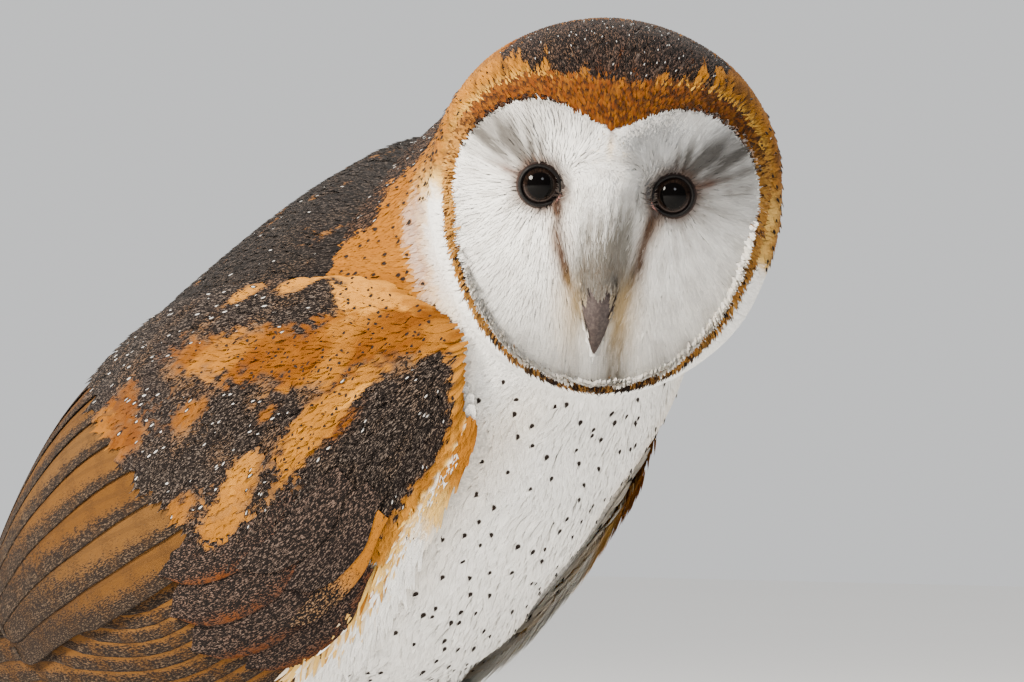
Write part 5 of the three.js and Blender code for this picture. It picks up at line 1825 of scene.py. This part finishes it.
def growTail():
    # twelve quills, the middle pair on top, and coverts over and under their roots
    def point(a, b, lift):
        u = (a - tail["start"]) / (tail["end"] - tail["start"])
        half = tail["rootHalf"] + (tail["endHalf"] - tail["rootHalf"]) * smooth(0, 1.1, u)
        return atBody(half * b, a, tail["drop"] * u - tail["sag"] * b * b * (0.4 + 0.6 * u) - 0.8 + lift)
    tract = newTract()
    x = np.array([-0.9, 0.9, -0.74, 0.74, -0.57, 0.57, -0.4, 0.4, -0.23, 0.23, -0.07, 0.07])
    end = tail["end"] - 9 * x * x
    back = (tail["start"] + 4) + (end - tail["start"] - 4)[:, None] * (1 - np.linspace(1, 0, 24) ** 1.5)
    for i in range(12):
        longVanes(tract, point, back[i:i + 1], x[i:i + 1, None] + 0 * back[i:i + 1], np.array([tail["half"]]),
            800 + i, mix(tone["buff"], tone["gold"], 0.4), tone["buff"], np.array([[0.1 + 0.07 * i, 0.5]]),
            veil=0.2, bar=0.85, rows=24, columns=7, tilt=0.0, lift=-1.2 + 1.3 * (1 - abs(x[i])), tip=0.8)
    thing = finishTract("tail_quills", tract, feather["quill"], ["tail"])
    thicken(thing)
    tract = newTract()
    surface = lambda a, b: onSection(core, a, b)
    back, turnAt = scatter(surface, (130, 186), (0, 2 * pi), tailCoverts["spacing"], 820, 0.3)
    p = surface(back, turnAt)
    wide = fromBelly(turnAt)
    tint = mix(tone["white"], tone["gold"], smooth(80, 110, wide))
    plant(tract, lambda q, grow=0.0: q, p, atBody(0, 1, 0) - atBody(0, 0, 0) + 0 * p, tailCoverts["length"],
        tailCoverts["width"], tint, bodyBake(p), 821, rows=6, columns=4, sink=0.5, rise=1.0,
        veil=0.8 * smooth(95, 120, wide), camber=0.12, shake=0.15)
    return thing, finishTract("tail_coverts", tract, feather["soft"])


def ontoCone(a, b, radius):
    # draws points in or out to a round body from a to b, with radius(share) along it
    axis = unit(b - a)
    total = np.linalg.norm(b - a)

    def onto(p, grow=0.0):
        q = p - a
        along = q @ axis
        off = q - along[..., None] * axis
        return a + along[..., None] * axis + unit(off) * (radius(along / total) + grow)[..., None]
    return onto


def growLegs(sideName, side):
    # soft white down over the thigh and the tarsus, shorter toward the foot
    tract = newTract()
    hip = atBody(side * (leg["across"] - 9), *leg["hip"])
    ankle = footAt(side, 0, -leg["ankle"][0], leg["ankle"][1])
    foot = footAt(side, 0, 0, leg["footTop"] - 2)
    parts = (  # from, to, radius along it, spacing, length, width, sink, seed
        (hip, ankle, lambda u: 21 - 10.6 * smooth(0, 1, u), 2.2, 12.0, 2.4, 2.2, 900),
        (ankle, foot, lambda u: 9.7 - 4.1 * u, 1.6, 6.5, 1.5, 1.1, 910),
    )
    for a, b, radius, spacing, length, width, sink, seed in parts:
        onto = ontoCone(a, b, radius)
        axis = unit(b - a)
        across = unit(np.cross(axis, [0, 1.0, 0.2]))
        other = np.cross(axis, across)
        total = np.linalg.norm(b - a)

        def point(t, r):
            t, r = np.broadcast_arrays(t, r)
            flat = across * np.cos(r)[..., None] + other * np.sin(r)[..., None]
            return a + axis * (t * total)[..., None] + flat * radius(t)[..., None]
        t, r = scatter(point, (0.05, 0.98), (0, 2 * pi), spacing, seed + side, 0.35)
        p = point(t, r)
        keep = sectionDepth(core, p) > 0.98
        t, r, p = picked(keep, t, r, p)
        rng = np.random.default_rng(seed + 2)
        spot = np.where(rng.random(len(t)) < 0.05, 0.5, 0)
        bake = np.stack([0.05 + 0.4 * t + (0.5 if seed == 910 else 0), r / (2 * pi)], -1)
        plant(tract, onto, p, np.broadcast_to(axis, p.shape), length * (1 - 0.35 * t), width * (1 - 0.3 * t),
            tone["white"], bake, seed + 3, rows=5, columns=3, sink=sink, rise=0.9, camber=0.05, shake=0.24,
            spot=spot, tip=0.15)
    return finishTract("leg_feathers_" + sideName, tract, feather["soft"])


pieces = [growFace(), growRim(), growHead(), growBody(), growSpots(), growMantle()]
for sideName, side in (("right", -1), ("left", 1)):
    pieces += growWing(sideName, side)
    pieces.append(growLegs(sideName, side))
pieces += growTail()


def tintSkin():
    # the skin takes the tint of the plumage over it
    mesh = skinPiece.data
    p = meshPoints(mesh)
    across, up, out = headPlace(p)
    onFace = (rimDistance(across, up)[0] < 0) & (out > -22)
    tint, veil, _ = birdZone(p)
    tint = np.where(onFace[:, None], facePaint(across, up), tint)
    veil = veil * ~onFace
    tint = mix(tint, tone["ash"] * 0.35, 0.8 * veil)
    low = smooth(60, 45, p[:, 2])
    tint = layered(tint,
        (tone["white"], low),
        ((0.33, 0.25, 0.21), smooth(13, 9, p[:, 2])))
    layer = mesh.attributes.new("tint", "FLOAT_VECTOR", "POINT")
    layer.data.foreach_set("vector", tint.astype(np.float32).ravel())


tintSkin()

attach(skinPiece, "root")
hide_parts("head", "neck", "trunk",
    *[part + "_" + side for part in ("thigh", "tarsus", "foot") for side in ("left", "right")])


# the floor, the light and the camera
studio = {"distance": 2.5, "mmAcross": 293.4, "aspect": 2 / 3, "eyesRight": 0.5923, "eyesDown": 0.2793,
    "azimuth": -48 * deg}


def setStage():
    bpy.ops.mesh.primitive_plane_add(size=6)
    floor = bpy.context.object
    floor.name = "floor"
    material, n, shader = newMaterial("floor", 0.9)
    n.feed(shader["Base Color"], n.blend(n.noise(n.inside(), 3.0), (0.84, 0.83, 0.81), (0.87, 0.86, 0.84)))
    floor.data.materials.append(material)
    world = bpy.data.worlds.new("studio")
    bpy.context.scene.world = world
    world.use_nodes = True
    sky = Nodes(world.node_tree)
    backdrop = world.node_tree.nodes["Background"]
    sky.feed(backdrop.inputs[0], (0.86, 0.87, 0.88, 1))
    sky.feed(backdrop.inputs[1], sky.plus(0.3, sky.times(0.62, sky.add("ShaderNodeLightPath").outputs[0])))
    back = np.array([math.sin(studio["azimuth"]), -math.cos(studio["azimuth"]), 0])
    right = np.array([math.cos(studio["azimuth"]), math.sin(studio["azimuth"]), 0])
    up = np.array([0, 0, 1.0])
    between = atHead(0, 0, -7.0) * mm
    across = studio["mmAcross"] * mm
    aim = between - right * (studio["eyesRight"] - 0.5) * across + up * (studio["eyesDown"]
        - 0.5) * across * studio["aspect"]
    camera = addThing("camera", bpy.data.cameras.new("camera"))
    camera.data.lens = 36 * studio["distance"] / across
    camera.location = aim + back * studio["distance"]
    camera.rotation_euler = (pi / 2, 0, studio["azimuth"])
    bpy.context.scene.camera = camera
    lamps = {"key": ((-1.15, 0.75, 0.85), 0.5, 88, (1, 0.93, 0.82)), "fill": ((0.35, 1.3, 0.8), 0.35, 8,
        (0.9, 0.94, 1)), "rim": ((0.1, -1.0, 1.2), 0.8, 12, (1, 0.96, 0.9))}
    for name, ((x, y, z), size, power, color) in lamps.items():
        lamp = addThing(name, bpy.data.lights.new(name, "AREA"))
        lamp.data.shape, lamp.data.size, lamp.data.energy, lamp.data.color = "DISK", size, power, color
        place = aim + right * x + back * y + up * z
        lamp.location = place
        heading = aim - place
        lamp.rotation_euler = (math.atan2(math.hypot(heading[0], heading[1]), -heading[2]), 0,
            math.atan2(heading[1], heading[0]) - pi / 2)
    overhead = addThing("overhead", bpy.data.lights.new("overhead", "SUN"))
    overhead.data.energy, overhead.data.angle = 2.0, 60 * deg
    overhead.rotation_euler = (-18 * deg, 0, studio["azimuth"])


setStage()
bpy.context.view_layer.update()
